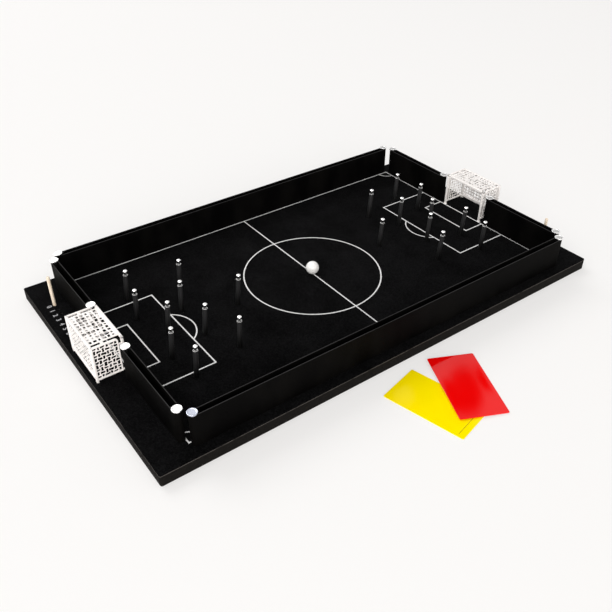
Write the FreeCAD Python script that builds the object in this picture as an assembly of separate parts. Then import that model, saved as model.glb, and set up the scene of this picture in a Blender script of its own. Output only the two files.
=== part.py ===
import FreeCAD, Part
import math
import os

# Finger football board game: a felt-topped board with six rubber wall bands, twenty player pins,
# two netted goals, a ball, two score pegs and two referee cards. Millimetres, +Z up.
# The origin is the middle of the board's underside, +X runs towards the away goal and
# +Y towards the back wall. The home side is at -X.

# Board
board_length = 572.0
board_width = 340.4
board_thickness = 12.6
board_corner_radius = 2.0
felt_thickness = 1.2
felt_edge_bevel = 0.6

# Pitch print
line_width = 1.5
print_thickness = 0.1
goal_line_inset = 38.5
touch_line_inset = 18.9
centre_circle_radius = 80.7
penalty_depth = 74.2
penalty_half_width = 71.5
goal_area_depth = 28.8
goal_area_half_width = 37.7
penalty_arc_radius = 31.9
penalty_spot_distance = 55.9
corner_arc_radius = 13.5

# Wall posts and the rubber bands stretched round them in pairs
post_height = 39.05
post_radius = 3.0
post_head_radius = 4.95
post_head_thickness = 1.5
post_head_chamfer = 0.4
post_spigot_radius = 2.0
post_spigot_length = 8.0
goal_line_clearance = 0.05
side_line_clearance = 0.6
long_wall_setback = 4.8
short_wall_setback = 6.9
band_thickness = 1.0
band_lift = 0.6
band_head_gap = 0.3

# Player pins: distance from the goal line, and distance either side of the centre line
player_places = ((47.9, 79.2), (41.9, 40.1), (58.4, 0.0), (88.0, 25.8), (106.7, 64.8), (144.1, 0.0))
pin_height = 38.9
pin_head_radius = 2.45
pin_head_flat_radius = 1.3
pin_head_rim = 0.9
pin_head_crown = 1.3
pin_shank_radius = 1.5
pin_embedment = 9.5
sleeve_radius = 2.6
sleeve_top_drop = 6.0

# Goals
goal_half_width = 31.8
goal_depth = 33.5
goal_height = 43.2
goal_wall_gap = 5.2
goal_bar = 2.6
goal_corner_depth = 2.4
goal_corner_width = 3.8
goal_corner_round = 1.1
goal_foot_height = 2.8
goal_front_foot_radius = 2.2
goal_front_foot_height = 1.0
goal_rear_rail_height = 3.6
goal_rim = 2.0
goal_rim_corner_radius = 3.5
goal_roof_thickness = 1.2
goal_top_strip = 1.8
goal_top_slot = 3.4
goal_top_bridge_start = 15.4
goal_top_bridge_end = 20.4
goal_front_slot = 2.8
goal_front_bridge_drop = 7.0
goal_bridge_width = 2.0
goal_bridge_recess = 0.5
goal_spigot_radius = 1.2
goal_spigot_length = 6.0

# Goal nets: gaps are four-sided, between strings that wander from a square grid in steady waves.
# A wave has an angle step per column and one per row, in radians. Counts are columns and rows of gaps.
net_thickness = 1.2
net_string = 1.7
net_wander = 0.75
net_wave_across = (2.3, 4.1)
net_wave_up = (3.7, -1.9)
back_net_counts = (9, 6)
back_net_start = 0.4
top_net_counts = (5, 8)
top_net_start = 1.9
side_net_counts = (5, 6)
side_net_starts = (3.1, 5.2)

# Ball
ball_radius = 7.75
ball_rest_gap = 0.05

# Score pegs and their rows of holes, one row at each end
score_row_inset = 17.5
score_first_inset = 52.6
score_pitch = 9.6
score_holes = 8
peg_radius = 1.9
peg_height = 37.7
peg_depth = 9.0
peg_chamfer = 0.8

# Referee cards lying in front of the board
card_length = 88.9
card_width = 50.8
card_thickness = 0.76
card_corner_radius = 1.5
card_gap = 0.05
yellow_card_x = -25.1
yellow_card_y = -234.1
yellow_card_turn = 103.9
red_card_x = 16.1
red_card_y = -234.4
red_card_turn = 66.4

# Flats on round pieces that repeat, which keep the model light
slim_sides = 8
post_sides = 12
ball_sides = 28

# Fits
press_clearance = 0.05
running_clearance = 0.08
hole_bottom_gap = 0.3

# Levels and lines that the pieces share
felt_top = board_thickness + felt_thickness
print_top = felt_top + print_thickness
goal_line_x = board_length / 2 - goal_line_inset
touch_line_y = board_width / 2 - touch_line_inset
behind_goal_line = goal_line_x + line_width / 2 + goal_line_clearance
end_wall_x = behind_goal_line + post_radius
side_wall_y = touch_line_y + line_width / 2 + side_line_clearance + post_radius
band_inner_radius = post_radius + press_clearance
band_outer_radius = band_inner_radius + band_thickness
goal_side_post_y = goal_half_width + goal_wall_gap + band_outer_radius
goal_spigot_x = behind_goal_line + goal_bar / 2
goal_spigot_y = goal_half_width - goal_bar / 2
goal_strip_y = goal_half_width - goal_rim - goal_top_slot
score_row_x = board_length / 2 - score_row_inset
score_first_y = board_width / 2 - score_first_inset

Vec = FreeCAD.Vector
UP = Vec(0, 0, 1)
HALF_TURN = 180
FULL_TURN = 360


def block(x0, x1, y0, y1, z0, z1):
    """Return the block between six coordinates."""
    return Part.makeBox(x1 - x0, y1 - y0, z1 - z0, Vec(x0, y0, z0))


def rod(x, y, z0, z1, radius):
    """Return an upright round rod."""
    return Part.makeCylinder(radius, z1 - z0, Vec(x, y, z0))


def ring_point(radius, angle, height):
    """Return the place at a radius and an angle in degrees about the upright axis."""
    turn = math.radians(angle)
    return Vec(radius * math.cos(turn), radius * math.sin(turn), height)


def prism(x, y, z0, z1, radius, sides):
    """Return an upright rod with flats."""
    corners = [ring_point(radius, FULL_TURN * i / sides, z0) for i in range(sides)]
    solid = Part.Face(Part.makePolygon(corners + corners[:1])).extrude(Vec(0, 0, z1 - z0))
    solid.translate(Vec(x, y, 0))
    return solid


def turned(profile, sides):
    """Return the solid that a run of (radius, height) places sweeps about the Z axis, in flats."""
    faces = []
    for (r0, z0), (r1, z1) in zip(profile, profile[1:]):
        for i in range(sides):
            a0 = FULL_TURN * i / sides
            a1 = FULL_TURN * (i + 1) / sides
            corners = [ring_point(r0, a0, z0), ring_point(r1, a0, z1)]
            if r1 > 0:
                corners.append(ring_point(r1, a1, z1))
            if r0 > 0:
                corners.append(ring_point(r0, a1, z0))
            faces.append(Part.Face(Part.makePolygon(corners + corners[:1])))
    skin = Part.makeCompound(faces)
    skin.sewShape()
    solid = Part.Solid(skin.Shells[0]).removeSplitter()
    return solid if solid.Volume > 0 else solid.reversed()


def stood(piece, places):
    """Return copies of a piece made at the origin, one standing at each place."""
    copies = []
    for x, y in places:
        copy = piece.copy()
        copy.translate(Vec(x, y, 0))
        copies.append(copy)
    return Part.makeCompound(copies)


def rounded_plate(length, width, z0, z1, corner):
    """Return a plate with rounded upright corners, centred on the origin."""
    plate = block(-length / 2, length / 2, -width / 2, width / 2, z0, z1)
    upright = [edge for edge in plate.Edges if abs(edge.tangentAt(edge.FirstParameter).z) > 0.5]
    return plate.makeFillet(corner, upright)


def half_turned(shape):
    """Return a copy turned half round the board's upright axis."""
    copy = shape.copy()
    copy.rotate(Vec(0, 0, 0), UP, HALF_TURN)
    return copy


def wall_places():
    """Return each wall's name with the places of its two posts."""
    long_x = goal_line_x - long_wall_setback
    corner_y = touch_line_y - short_wall_setback
    return {
        "front_wall": ((-long_x, -side_wall_y), (long_x, -side_wall_y)),
        "back_wall": ((-long_x, side_wall_y), (long_x, side_wall_y)),
        "home_front_wall": ((-end_wall_x, -corner_y), (-end_wall_x, -goal_side_post_y)),
        "home_back_wall": ((-end_wall_x, goal_side_post_y), (-end_wall_x, corner_y)),
        "away_front_wall": ((end_wall_x, -corner_y), (end_wall_x, -goal_side_post_y)),
        "away_back_wall": ((end_wall_x, goal_side_post_y), (end_wall_x, corner_y)),
    }


def home_player_places():
    """Return the places of the home side's pins, on both sides of the centre line."""
    places = []
    for distance, offset in player_places:
        for side in ((1, -1) if offset > 0 else (1,)):
            places.append((distance - goal_line_x, side * offset))
    return places


def away_player_places():
    """Return the places of the away side's pins, which mirror the home side's."""
    return [(-x, y) for x, y in home_player_places()]


def goal_spigot_places():
    """Return the places of the spigots under both goals' front posts."""
    return [(sx * goal_spigot_x, sy * goal_spigot_y) for sx in (-1, 1) for sy in (-1, 1)]


def score_hole_places():
    """Return the places of both rows of score holes, the home row first."""
    home = [(-score_row_x, score_first_y - i * score_pitch) for i in range(score_holes)]
    return home + [(-x, -y) for x, y in home]


def board_holes():
    """Return the holes that the posts, pins, goals and score pegs stand in, from above the felt."""
    sockets = []
    for pair in wall_places().values():
        for x, y in pair:
            sockets.append((x, y, post_spigot_radius + press_clearance, post_spigot_length, post_sides))
    for x, y in home_player_places() + away_player_places():
        sockets.append((x, y, pin_shank_radius + press_clearance, pin_embedment, slim_sides))
    for x, y in goal_spigot_places():
        sockets.append((x, y, goal_spigot_radius + running_clearance, goal_spigot_length, slim_sides))
    for x, y in score_hole_places():
        sockets.append((x, y, peg_radius + running_clearance, peg_depth, slim_sides))
    above = felt_top + board_thickness
    return [prism(x, y, felt_top - depth - hole_bottom_gap, above, radius, sides)
            for x, y, radius, depth, sides in sockets]


def base_board():
    """Return the black board with its blind holes."""
    board = rounded_plate(board_length, board_width, 0, board_thickness, board_corner_radius)
    return board.cut(board_holes())


def felt_sheet():
    """Return the felt that covers the board's top, with its top edge bevelled where it is trimmed."""
    felt = rounded_plate(board_length, board_width, board_thickness, felt_top, board_corner_radius)
    middle = board_thickness + felt_thickness / 2
    rim = [edge for edge in felt.Edges if min(corner.Z for corner in edge.Vertexes) > middle]
    return felt.makeChamfer(felt_edge_bevel, rim).cut(board_holes())


def line_frame(x0, x1, y0, y1):
    """Return a printed rectangle whose line runs midway on the given coordinates."""
    half = line_width / 2
    outer = block(x0 - half, x1 + half, y0 - half, y1 + half, felt_top, print_top)
    return outer.cut(block(x0 + half, x1 - half, y0 + half, y1 - half, felt_top, print_top))


def line_ring(x, y, radius):
    """Return a printed circle."""
    outer = rod(x, y, felt_top, print_top, radius + line_width / 2)
    return outer.cut(rod(x, y, felt_top, print_top, radius - line_width / 2))


def home_half_lines():
    """Return the home half's printed areas and arcs."""
    penalty_x = penalty_depth - goal_line_x
    goal_area_x = goal_area_depth - goal_line_x
    spot_x = penalty_spot_distance - goal_line_x
    arc_limit = block(penalty_x, penalty_x + board_length, -board_width, board_width, felt_top, print_top)
    pitch = block(-goal_line_x, 0, -touch_line_y, touch_line_y, felt_top, print_top)
    lines = [
        line_frame(-goal_line_x, penalty_x, -penalty_half_width, penalty_half_width),
        line_frame(-goal_line_x, goal_area_x, -goal_area_half_width, goal_area_half_width),
        line_ring(spot_x, 0, penalty_arc_radius).common(arc_limit),
    ]
    for side in (-1, 1):
        lines.append(line_ring(-goal_line_x, side * touch_line_y, corner_arc_radius).common(pitch))
    return lines


def pitch_markings():
    """Return all printed lines as one thin layer, open at any hole that lies under them."""
    half = line_width / 2
    lines = [
        line_frame(-goal_line_x, goal_line_x, -touch_line_y, touch_line_y),
        block(-half, half, -touch_line_y, touch_line_y, felt_top, print_top),
        line_ring(0, 0, centre_circle_radius),
    ]
    home = home_half_lines()
    lines += home + [half_turned(line) for line in home]
    return lines[0].fuse(lines[1:]).cut(board_holes()).removeSplitter()


def wall_post():
    """Return a metal post: a flat bevelled head, a shank, and a spigot under its shoulder."""
    top = felt_top + post_height
    under_head = top - post_head_thickness
    return turned((
        (0, top), (post_head_radius - post_head_chamfer, top), (post_head_radius, top - post_head_chamfer),
        (post_head_radius, under_head), (post_radius, under_head), (post_radius, felt_top),
        (post_spigot_radius, felt_top), (post_spigot_radius, felt_top - post_spigot_length),
        (0, felt_top - post_spigot_length),
    ), post_sides)


def loop_prism(first, second, radius, z0, z1):
    """Return the upright prism of the outline that a tight loop takes round two posts."""
    heading = math.degrees(math.atan2(second[1] - first[1], second[0] - first[0]))
    corners = []
    for place, start in ((second, heading - 90), (first, heading + 90)):
        for step in range(post_sides // 2 + 1):
            corner = ring_point(radius, start + FULL_TURN * step / post_sides, z0)
            corners.append(corner + Vec(place[0], place[1], 0))
    return Part.Face(Part.makePolygon(corners + corners[:1])).extrude(Vec(0, 0, z1 - z0))


def wall_band(first, second):
    """Return the rubber band that is stretched round two posts, as two plies and their end wraps."""
    low = felt_top + band_lift
    high = felt_top + post_height - post_head_thickness - band_head_gap
    outer = loop_prism(first, second, band_outer_radius, low, high)
    return outer.cut(loop_prism(first, second, band_inner_radius, low, high))


def player_pin():
    """Return a steel pin: a low crowned head on a shank that goes down into the board."""
    top = felt_top + pin_height
    rim_top = top - pin_head_crown
    under_head = rim_top - pin_head_rim
    low = felt_top - pin_embedment
    return turned((
        (0, top), (pin_head_flat_radius, top), (pin_head_radius, rim_top), (pin_head_radius, under_head),
        (pin_shank_radius, under_head), (pin_shank_radius, low), (0, low),
    ), slim_sides)


def player_sleeve():
    """Return the rubber tube round a player pin, standing on the felt."""
    high = felt_top + pin_height - sleeve_top_drop
    bore = pin_shank_radius + press_clearance
    return turned((
        (bore, high), (sleeve_radius, high), (sleeve_radius, felt_top), (bore, felt_top), (bore, high),
    ), slim_sides)


def rim_face(inset):
    """Return the face inside a goal's side rim in the XZ plane, drawn in from its outside by inset."""
    x0 = goal_bar + goal_front_slot + inset
    x1 = goal_depth - goal_corner_round - inset
    z0 = goal_foot_height + inset
    z1 = goal_height - inset
    radius = goal_rim_corner_radius - inset
    diagonal = radius * (1 - math.sqrt(0.5))
    start = Vec(x0 + radius, 0, z1)
    finish = Vec(x0, 0, z1 - radius)
    straight = Part.makePolygon([start, Vec(x1, 0, z1), Vec(x1, 0, z0), Vec(x0, 0, z0), finish])
    corner = Part.Arc(finish, Vec(x0 + diagonal, 0, z1 - diagonal), start).toShape()
    return Part.Face(Part.Wire(straight.Edges + [corner]))


def goal_side_rim(side):
    """Return one side's rim, a slot's width behind the front post and rounded at its top front corner."""
    across = Vec(0, goal_rim, 0)
    rim = rim_face(0).extrude(across).cut(rim_face(goal_rim).extrude(across))
    rim.translate(Vec(0, goal_half_width - goal_rim if side > 0 else -goal_half_width, 0))
    return rim


def goal_corner_post(side):
    """Return one rear corner post, rounded on its outer upright edge."""
    y0, y1 = sorted((side * goal_half_width, side * (goal_half_width - goal_corner_width)))
    post = block(goal_depth - goal_corner_depth, goal_depth, y0, y1, 0, goal_height)
    outside = Vec(goal_depth, side * goal_half_width, goal_height / 2)
    edge = min(post.Edges, key=lambda e: e.CenterOfMass.distanceToPoint(outside))
    return post.makeFillet(goal_corner_round, [edge])


def goal_bridges(side):
    """Return the bridges that hold one side's rim, one to the roof and two to the front post."""
    strip_inside = goal_strip_y - goal_top_strip
    rim_middle = goal_half_width - goal_rim / 2
    y0, y1 = sorted((side * strip_inside, side * rim_middle))
    top = goal_height - goal_bridge_recess
    bridges = [block(goal_top_bridge_start, goal_top_bridge_end, y0, y1, top - goal_roof_thickness, top)]
    y0, y1 = sorted((side * (goal_half_width - goal_rim), side * (goal_half_width - goal_bridge_recess)))
    x1 = goal_bar + goal_front_slot + goal_rim / 2
    for low in (goal_foot_height, goal_height - goal_front_bridge_drop - goal_bridge_width):
        bridges.append(block(goal_bar, x1, y0, y1, low, low + goal_bridge_width))
    return bridges


def goal_frame():
    """Return a goal's moulded frame, its front face at x 0 and its feet at z 0."""
    width = goal_half_width
    rail_top = goal_foot_height + goal_rear_rail_height
    rear_x = goal_depth - goal_bar
    rear_y = width - goal_corner_width
    pieces = [
        block(0, goal_bar, -width, width, goal_height - goal_bar, goal_height),
        block(rear_x, goal_depth, -rear_y, rear_y, goal_height - goal_bar, goal_height),
        block(rear_x, goal_depth, -rear_y, rear_y, goal_foot_height, rail_top),
    ]
    for side in (-1, 1):
        post_y = side * (width - goal_bar / 2)
        pieces.append(block(0, goal_bar, post_y - goal_bar / 2, post_y + goal_bar / 2, 0, goal_height))
        pieces.append(prism(goal_bar / 2, post_y, 0, goal_front_foot_height,
                            goal_front_foot_radius, slim_sides))
        pieces.append(prism(goal_bar / 2, post_y, -goal_spigot_length, goal_bar,
                            goal_spigot_radius, slim_sides))
        pieces.append(goal_corner_post(side))
        pieces.append(goal_side_rim(side))
        pieces += goal_bridges(side)
        y0, y1 = sorted((side * goal_strip_y, side * (goal_strip_y - goal_top_strip)))
        pieces.append(block(goal_bar, rear_x, y0, y1, goal_height - goal_roof_thickness, goal_height))
    return pieces[0].fuse(pieces[1:]).removeSplitter()


def net_crossing(column, row, gaps, size, start):
    """Return where two strings cross, off the square grid except along the sheet's edges."""
    x = column * size[0] / gaps[0]
    y = row * size[1] / gaps[1]
    if 0 < column < gaps[0]:
        x += net_wander * math.sin(net_wave_across[0] * column + net_wave_across[1] * row + start)
    if 0 < row < gaps[1]:
        y += net_wander * math.cos(net_wave_up[0] * column + net_wave_up[1] * row + 2 * start)
    return Vec(x, y, 0)


def drawn_in(corners, distance):
    """Return a four-sided outline with every side moved inwards by distance."""
    moved = []
    for i in range(len(corners)):
        before = (corners[i] - corners[i - 1]).normalize()
        after = (corners[(i + 1) % len(corners)] - corners[i]).normalize()
        turn = before.x * after.y - before.y * after.x
        moved.append(corners[i] + (after - before) * (distance / turn))
    return moved


def net_outline(size, radius):
    """Return a net's outline in the XY plane, its top left corner rounded where radius is over 0."""
    width, height = size
    corners = [Vec(0, height - radius, 0), Vec(0, 0, 0), Vec(width, 0, 0), Vec(width, height, 0)]
    if radius == 0:
        return Part.makePolygon(corners + corners[:1])
    finish = Vec(radius, height, 0)
    diagonal = radius * (1 - math.sqrt(0.5))
    round_corner = Part.Arc(finish, Vec(diagonal, height - diagonal, 0), corners[0]).toShape()
    return Part.Wire(Part.makePolygon(corners + [finish]).Edges + [round_corner])


def net_sheet(gaps, size, start, radius=0):
    """Return a flat net in the XY plane with its low corner at the origin.

    radius rounds the top left corner, and no gap is cut in the square that the rounding takes.
    """
    holes = []
    for column in range(gaps[0]):
        for row in range(gaps[1]):
            around = ((column, row), (column + 1, row), (column + 1, row + 1), (column, row + 1))
            gap = drawn_in([net_crossing(i, j, gaps, size, start) for i, j in around], net_string / 2)
            left = min(corner.x for corner in gap)
            top = max(corner.y for corner in gap)
            if left >= radius or top <= size[1] - radius:
                holes.append(Part.makePolygon(gap + gap[:1]))
    return Part.Face([net_outline(size, radius)] + holes).extrude(Vec(0, 0, net_thickness))


def placed(shape, origin, x_axis, y_axis):
    """Return a shape moved so that its own X and Y axes lie on the given directions."""
    z_axis = x_axis.cross(y_axis)
    matrix = FreeCAD.Matrix(
        x_axis.x, y_axis.x, z_axis.x, origin.x,
        x_axis.y, y_axis.y, z_axis.y, origin.y,
        x_axis.z, y_axis.z, z_axis.z, origin.z,
        0, 0, 0, 1)
    copy = shape.copy()
    copy.transformShape(matrix)
    return copy


def goal_nets():
    """Return a goal's four net sheets: back, top and two sides, in the goal's own frame."""
    back_width = 2 * (goal_half_width - goal_corner_width)
    back_low = goal_foot_height + goal_rear_rail_height
    back_size = (back_width, goal_height - goal_bar - back_low)
    side_low = goal_foot_height + goal_rim
    side_front = goal_bar + goal_front_slot + goal_rim
    side_size = (goal_depth - goal_corner_round - goal_rim - side_front, goal_height - goal_rim - side_low)
    top_half = goal_strip_y - goal_top_strip
    top_size = (goal_depth - 2 * goal_bar, 2 * top_half)
    top_low = goal_height - (goal_roof_thickness + net_thickness) / 2
    inner_radius = goal_rim_corner_radius - goal_rim
    middle = (goal_rim + net_thickness) / 2
    nets = [
        placed(net_sheet(back_net_counts, back_size, back_net_start),
               Vec(goal_depth - middle, -back_width / 2, back_low), Vec(0, 1, 0), UP),
        placed(net_sheet(top_net_counts, top_size, top_net_start),
               Vec(goal_bar, -top_half, top_low), Vec(1, 0, 0), Vec(0, 1, 0)),
    ]
    for side, start in zip((-1, 1), side_net_starts):
        sheet = net_sheet(side_net_counts, side_size, start, inner_radius)
        y = side * (goal_half_width - goal_rim / 2) + net_thickness / 2
        nets.append(placed(sheet, Vec(side_front, y, side_low), Vec(1, 0, 0), UP))
    return Part.makeCompound(nets)


def at_away_end(shape):
    """Return a goal piece moved from the goal's own frame to the away end of the pitch."""
    copy = shape.copy()
    copy.translate(Vec(behind_goal_line, 0, print_top))
    return copy


def ball():
    """Return the ball at the centre spot."""
    step = FULL_TURN / ball_sides
    rows = [(ball_radius * math.sin(math.radians(i * step)), ball_radius * math.cos(math.radians(i * step)))
            for i in range(ball_sides // 2)]
    solid = turned(rows + [(0, -ball_radius)], ball_sides)
    solid.translate(Vec(0, 0, print_top + ball_rest_gap + ball_radius))
    return solid


def score_peg():
    """Return a wooden score peg with a bevelled tip."""
    top = felt_top + peg_height
    low = felt_top - peg_depth
    return turned((
        (0, top), (peg_radius - peg_chamfer, top), (peg_radius, top - peg_chamfer),
        (peg_radius, low), (0, low),
    ), slim_sides)


def flat_card(x, y, turn):
    """Return a card lying on the table."""
    card = rounded_plate(card_length, card_width, 0, card_thickness, card_corner_radius)
    card.rotate(Vec(0, 0, 0), UP, turn)
    card.translate(Vec(x, y, 0))
    return card


def yellow_card():
    """Return the lower card."""
    return flat_card(yellow_card_x, yellow_card_y, yellow_card_turn)


def red_card():
    """Return the upper card, propped by the lower one under it and by its own far long edge."""
    card = flat_card(red_card_x, red_card_y, red_card_turn)
    along = Vec(math.cos(math.radians(red_card_turn)), math.sin(math.radians(red_card_turn)), 0)
    across = Vec(-along.y, along.x, 0)
    edge = Vec(red_card_x, red_card_y, 0) - across * (card_width / 2)
    shared = card.common(yellow_card())
    reach = min((v.Point - edge).dot(across) for v in shared.Vertexes)
    tilt = math.degrees(math.asin((card_thickness + card_gap) / reach))
    card.rotate(edge, along, tilt)
    return card


def save(name, shape):
    """Write one node's file."""
    shape.exportStep("parts/" + name + ".step")


def main():
    """Build every node and write it."""
    os.makedirs("parts", exist_ok=True)
    save("base_board", base_board())
    save("felt_sheet", felt_sheet())
    save("pitch_markings", pitch_markings())
    for name, (first, second) in wall_places().items():
        save(name + "_posts", stood(wall_post(), (first, second)))
        save(name + "_band", wall_band(first, second))
    for team, places in (("home", home_player_places()), ("away", away_player_places())):
        save(team + "_player_pins", stood(player_pin(), places))
        save(team + "_player_sleeves", stood(player_sleeve(), places))
    frame = at_away_end(goal_frame())
    nets = at_away_end(goal_nets())
    save("away_goal_frame", frame)
    save("away_goal_nets", nets)
    save("home_goal_frame", half_turned(frame))
    save("home_goal_nets", half_turned(nets))
    save("ball", ball())
    home_peg = stood(score_peg(), score_hole_places()[:1])
    save("home_score_peg", home_peg)
    save("away_score_peg", half_turned(home_peg))
    save("yellow_card", yellow_card())
    save("red_card", red_card())


main()
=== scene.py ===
import logging
import math
from abc import ABC, abstractmethod
from dataclasses import dataclass
from enum import Enum
from typing import Callable, ClassVar, Iterable, Mapping, Sequence, Union

import bmesh
import bpy
from mathutils import Matrix, Vector
from mathutils.geometry import delaunay_2d_cdt


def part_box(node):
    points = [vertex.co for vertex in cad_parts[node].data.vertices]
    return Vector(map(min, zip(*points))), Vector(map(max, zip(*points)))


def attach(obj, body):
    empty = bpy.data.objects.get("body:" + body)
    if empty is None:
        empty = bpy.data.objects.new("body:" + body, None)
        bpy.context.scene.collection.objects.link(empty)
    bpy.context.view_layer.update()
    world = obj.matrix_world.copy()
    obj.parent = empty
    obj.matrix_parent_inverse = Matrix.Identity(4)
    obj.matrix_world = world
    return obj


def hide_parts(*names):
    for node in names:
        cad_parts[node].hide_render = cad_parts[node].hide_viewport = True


# The finger football board game, dressed. Sizes in the classes are in millimetres, and MM turns them
# into the scene's metres. +X runs towards the away goal, +Y towards the back wall, +Z up.

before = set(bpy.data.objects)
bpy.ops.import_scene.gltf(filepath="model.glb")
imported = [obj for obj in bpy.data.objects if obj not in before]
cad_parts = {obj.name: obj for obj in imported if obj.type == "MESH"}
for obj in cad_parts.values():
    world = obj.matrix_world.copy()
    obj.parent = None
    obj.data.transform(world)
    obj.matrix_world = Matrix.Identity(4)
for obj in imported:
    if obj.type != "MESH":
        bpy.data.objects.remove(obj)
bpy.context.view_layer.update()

MM = 0.001
NODE_WELD = 0.001 * MM
PIECE_WELD = 0.002 * MM
OUTLINE_WELD = 1e-9

# Shares: what a corner's bisector keeps of a side's way in at least, what a rounding takes of a bar's
# thinnest side at most, and how far in the middle of a quarter round lies
LEAST_LEAN = 0.3
LARGEST_ROUND = 0.45
ROUND_MIDDLE = 0.3

SIDES = (-1, 1)
FULL_TURN = 2 * math.pi
HALF_TURN = Matrix.Rotation(math.pi, 4, "Z")
log = logging.getLogger("finger_football")

Pair = tuple[float, float]
Triple = tuple[float, float, float]
Colour = Triple
Value = Union["Link", float, Sequence[float]]


class Team(Enum):
    """The two ends of the board."""

    HOME = "home"
    AWAY = "away"

    def turned(self) -> Matrix:
        """Return what brings a piece made for the away end to this team's end."""
        return HALF_TURN if self is Team.HOME else Matrix.Identity(4)


class Link:
    """A node's output socket, on which Python's operators add Math nodes."""

    def __init__(self, sheet: "NodeSheet", socket: bpy.types.NodeSocket) -> None:
        """Keep the socket and the sheet that it is on."""
        self.sheet = sheet
        self.socket = socket

    def math(self, operation: str, *values: Value) -> "Link":
        """Return a Math node's result.

        Args:
            operation: The Math node's operation.
            values: The links or numbers that it works on, in order.

        Returns:
            The link to the result.
        """
        return self.sheet.node("ShaderNodeMath", {"operation": operation}, dict(enumerate(values)))

    def __add__(self, other: Value) -> "Link":
        """Return self + other."""
        return self.math("ADD", self, other)

    def __sub__(self, other: Value) -> "Link":
        """Return self - other."""
        return self.math("SUBTRACT", self, other)

    def __rsub__(self, other: Value) -> "Link":
        """Return other - self."""
        return self.math("SUBTRACT", other, self)

    def __mul__(self, other: Value) -> "Link":
        """Return self * other."""
        return self.math("MULTIPLY", self, other)

    def __abs__(self) -> "Link":
        """Return the size of self."""
        return self.math("ABSOLUTE", self)

    __radd__ = __add__
    __rmul__ = __mul__

    def rise(self, low: float, high: float) -> "Link":
        """Return 0 below low, 1 above high and a smooth step between; low may be the larger one."""
        return self.sheet.node(
            "ShaderNodeMapRange", {"interpolation_type": "SMOOTHSTEP"},
            {"Value": self, "From Min": low, "From Max": high},
        )


class NodeSheet:
    """A material's or world's node tree, filled node by node."""

    def __init__(self, owner: Union[bpy.types.Material, bpy.types.World]) -> None:
        """Start an empty sheet.

        Args:
            owner: The material or world that the nodes are for.
        """
        owner.use_nodes = True
        self.tree = owner.node_tree
        self.tree.nodes.clear()

    def node(self, kind: str, settings: Mapping[str, object], sockets: Mapping[Union[int, str], Value],
             output: Union[int, str] = 0) -> Link:
        """Add a node.

        Args:
            kind: The node's type.
            settings: Its own settings, set first.
            sockets: The value or link of each input, by name or number.
            output: The name or number of the output that is wanted.

        Returns:
            The link to that output.
        """
        node = self.tree.nodes.new(kind)
        for name, setting in settings.items():
            setattr(node, name, setting)
        for name, value in sockets.items():
            socket = node.inputs[name]
            if isinstance(value, Link):
                self.tree.links.new(value.socket, socket)
            elif socket.type == "RGBA":
                socket.default_value = (*value, 1.0)
            else:
                socket.default_value = value
        return Link(self, node.outputs[output] if len(node.outputs) else node.inputs[0])

    def place(self) -> Link:
        """Return the place on the piece, in metres in the board's frame."""
        return self.node("ShaderNodeTexCoord", {}, {}, "Object")

    def part(self, vector: Link, axis: int) -> Link:
        """Return one coordinate of a vector."""
        return self.node("ShaderNodeSeparateXYZ", {}, {0: vector}, axis)

    def stretched(self, vector: Link, factors: Triple) -> Link:
        """Return a vector with each coordinate times its factor."""
        return self.node("ShaderNodeVectorMath", {"operation": "MULTIPLY"}, {0: vector, 1: factors})

    def noise(self, vector: Link, grain_mm: float, detail: float = 3.0) -> Link:
        """Return noise from about 0 to 1 whose largest grains have the given size."""
        return self.node(
            "ShaderNodeTexNoise", {}, {"Vector": vector, "Scale": 1 / (grain_mm * MM), "Detail": detail},
        )

    def mix(self, factor: Value, low: Value, high: Value) -> Link:
        """Return the colour that lies between two others."""
        return self.node("ShaderNodeMix", {"data_type": "RGBA"}, {0: factor, 6: low, 7: high}, 2)

    def bump(self, height: Link, depth_mm: float) -> Link:
        """Return the normal of a surface with a relief of the given depth."""
        return self.node("ShaderNodeBump", {}, {"Distance": depth_mm * MM, "Height": height})


class Finish(ABC):
    """What a surface is made of, and how use has marked it."""

    made: ClassVar[dict["Finish", bpy.types.Material]] = {}

    @abstractmethod
    def sockets(self, sheet: NodeSheet) -> dict[str, Value]:
        """Return the surface shader's sockets, drawn on the sheet."""

    def material(self) -> bpy.types.Material:
        """Make this finish when it is first asked for.

        Returns:
            The finish as a material.
        """
        if self not in self.made:
            material = bpy.data.materials.new(type(self).__name__)
            sheet = NodeSheet(material)
            shader = sheet.node("ShaderNodeBsdfPrincipled", {}, self.sockets(sheet))
            sheet.node("ShaderNodeOutputMaterial", {}, {"Surface": shader})
            self.made[self] = material
        return self.made[self]


@dataclass(frozen=True)
class Felt(Finish):
    """Short black pile with a nap that lies in patches, and a little lint."""

    dark: Colour = (0.0009, 0.0009, 0.001)
    light: Colour = (0.0073, 0.0073, 0.0078)
    lint: Colour = (0.045, 0.045, 0.048)

    def sockets(self, sheet: NodeSheet) -> dict[str, Value]:
        """Draw the pile's colour from three sizes of grain, and its relief.

        Args:
            sheet: The sheet that gets the nodes.

        Returns:
            The surface shader's sockets.
        """
        place = sheet.place()
        fibres = sheet.noise(place, 0.35, 6)
        clumps = sheet.noise(place, 1.6, 3)
        nap = sheet.noise(place, 34, 2)
        pile = (fibres * 0.45 + clumps * 0.35 + nap * 0.2).rise(0.4, 0.63)
        specks = sheet.noise(sheet.stretched(place, (1, 1.7, 1)), 0.9, 1).rise(0.74, 0.8)
        return {
            "Base Color": sheet.mix(specks * 0.6, sheet.mix(pile, self.dark, self.light), self.lint),
            "Roughness": 1.0,
            "Specular IOR Level": 0.02,
            "Sheen Weight": 0.006,
            "Sheen Roughness": 0.4,
            "Normal": sheet.bump(fibres * 0.6 + clumps * 0.4, 0.5),
        }


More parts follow.
